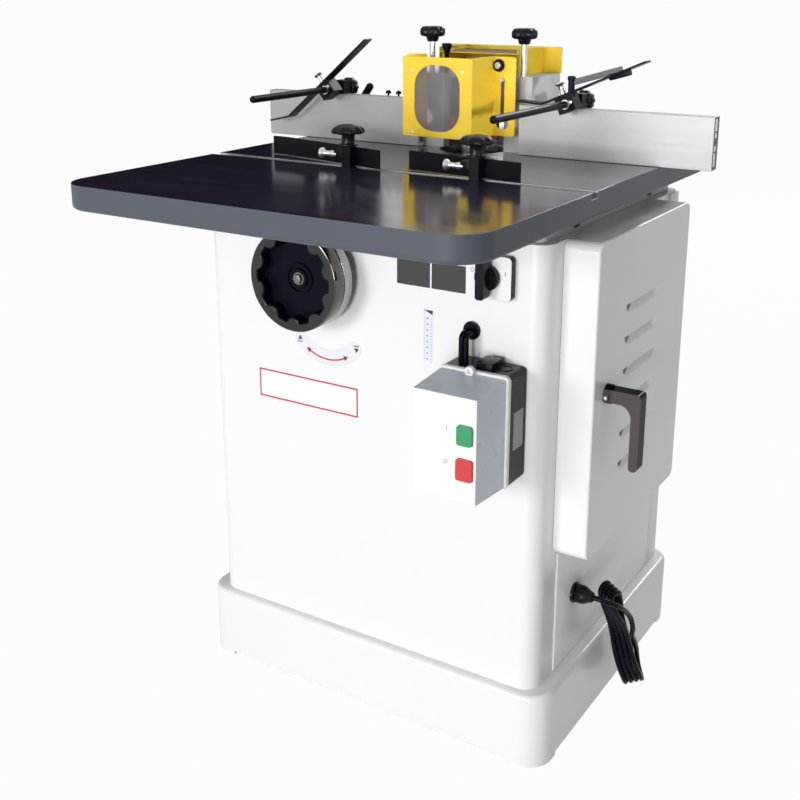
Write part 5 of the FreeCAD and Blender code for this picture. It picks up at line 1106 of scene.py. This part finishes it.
def shell(bm, upper, lower):
    """A thin curved plate between two grids with as many points each."""
    top = [[bm.verts.new(place) for place in row] for row in upper]
    base = [[bm.verts.new(place) for place in row] for row in lower]
    tall = len(top)
    wide = len(top[0])
    for i in range(tall - 1):
        for j in range(wide - 1):
            bm.faces.new((top[i][j], top[i + 1][j], top[i + 1][j + 1], top[i][j + 1]))
            bm.faces.new((base[i][j], base[i][j + 1], base[i + 1][j + 1], base[i + 1][j]))
    border = [(i, 0) for i in range(tall)] + [(tall - 1, j) for j in range(1, wide)]
    border += [(i, wide - 1) for i in range(tall - 2, -1, -1)] + [(0, j) for j in range(wide - 2, 0, -1)]
    for (i, j), (k, m) in zip(border, border[1:] + border[:1]):
        bm.faces.new((top[i][j], base[i][j], base[k][m], top[k][m]))


def make_door_details():
    louvres = 6
    first_lip = 125
    pitch = 51.4
    face = DOOR_HIGH.x
    front = DOOR_LOW.y + 128 * MM
    back = DOOR_LOW.y + 231 * MM
    radius = 21.8 * MM
    half_thick = 0.4 * MM
    out = 14.8 * MM
    tip = 15 * MM
    fade = 15 * MM
    slit = 4.2 * MM
    # Height of the dark sheet at the louvre's front end, where it is painted shade
    shade_mouth = 12 * MM
    under = 0.2 * MM
    steps = 30
    rows = 5

    def depth_at(along, down, reach):
        """How far the louvre's hollow lies behind the door's face."""
        over = max(0.0, along)
        return math.sqrt(max(0.0, reach * reach - over * over - down * down)) - out

    def slit_and_shade_reach(along):
        """How far the dark sheet reaches below the lip: a slit, widening at the louvre's front end into
        painted shade.
        """
        if along < 0:
            return slit + (shade_mouth - slit) * math.sqrt(max(0.0, 1 + along / fade))
        return shade_mouth * math.sqrt(max(0.02, 1 - (along / tip) ** 2))

    # Dark sheets under the lips: the slits, and painted shade at each louvre's front end
    slits_and_shade = bmesh.new()
    for index in range(louvres):
        lip = DOOR_LOW.z + (first_lip + pitch * index) * MM
        grids = []
        for reach in (radius - half_thick, radius + half_thick):
            grid = []
            for step in range(steps + 1):
                along = (front - back) + (tip + back - front) * step / steps
                row = []
                for part in range(rows + 1):
                    down = under + (slit_and_shade_reach(along) - under) * part / rows
                    row.append(Vector((face - depth_at(along, down, reach), front - along, lip - down)))
                grid.append(row)
            grids.append(grid)
        shell(slits_and_shade, grids[0], grids[1])
    piece("louvre_slits_and_shade", slits_and_shade, "door", "black_steel", DARK_PLATE)
    pin_place = Vector((face + 5 * MM, DOOR_LOW.y + 34.4 * MM, DOOR_LOW.z + 259 * MM))
    single("latch_pin", "latch", "bright_steel", ZINC,
           lathe, mm((3.2, -1), (3.2, 3), (2.4, 4.2), (0.2, 4.6)), pin_place, -Y, 28)


# Cabinet panels and the cord gland

def make_side_panels():
    sink = 0.2 * MM
    low = PLINTH_HIGH.z + MM
    panel = (-84 * MM, 331 * MM, DOOR_LOW.z - 7 * MM, 2.6 * MM)
    strip = (333 * MM, 378 * MM, CABINET_HIGH.z - 2 * MM, 2.4 * MM)
    panels = bmesh.new()
    for start, end, high, thick in (panel, strip):
        place = Vector((CABINET_HIGH.x - sink, (start + end) / 2, (low + high) / 2))
        slab(panels, rounded_box(end - start, high - low, 1.5 * MM), place, Y, Z, thick, 0.5 * MM)
    piece("side_panels", panels, "stand", "white_paint")


def make_gland():
    wall = Vector((CABINET_HIGH.x, GLAND_TIP.y, GLAND_TIP.z))
    length = GLAND_TIP.x - wall.x
    lock_ring = mm((10, -8), (10, 0), (17, 0), (17, 6), (16.2, 7), (12, 7), (12, 9))
    nut = bmesh.new()
    lathe(nut, lock_ring, wall, X, 72, lobes(6, 0.1, 12 * MM))
    sleeve = mm((14.5, 9), (15.4, 10), (15, 20), (13.4, 25))
    sleeve += [(10 * MM, length - 5 * MM), (8 * MM, length), (CORD_RADIUS * 1.04, length)]
    lathe(nut, sleeve, wall, X, 96, lobes(12, 0.08, 8 * MM))
    made = piece("gland_nut", nut, "stand", "black_plastic", degrees=40)
    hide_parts("cord_gland")


dress_table()
dress_wheel()
dress_starter()
dress_switch()
make_red_plate()
make_turn_label()
make_front_ink()
make_scale_and_plates()
make_fence_knobs()
make_guard_details()
make_fence_bolts()
dress_boards()
make_hold_down_details()
make_right_leaf()
make_post_details()
make_door_details()
make_side_panels()
make_gland()

bpy.context.scene.view_settings.view_transform = "Standard"
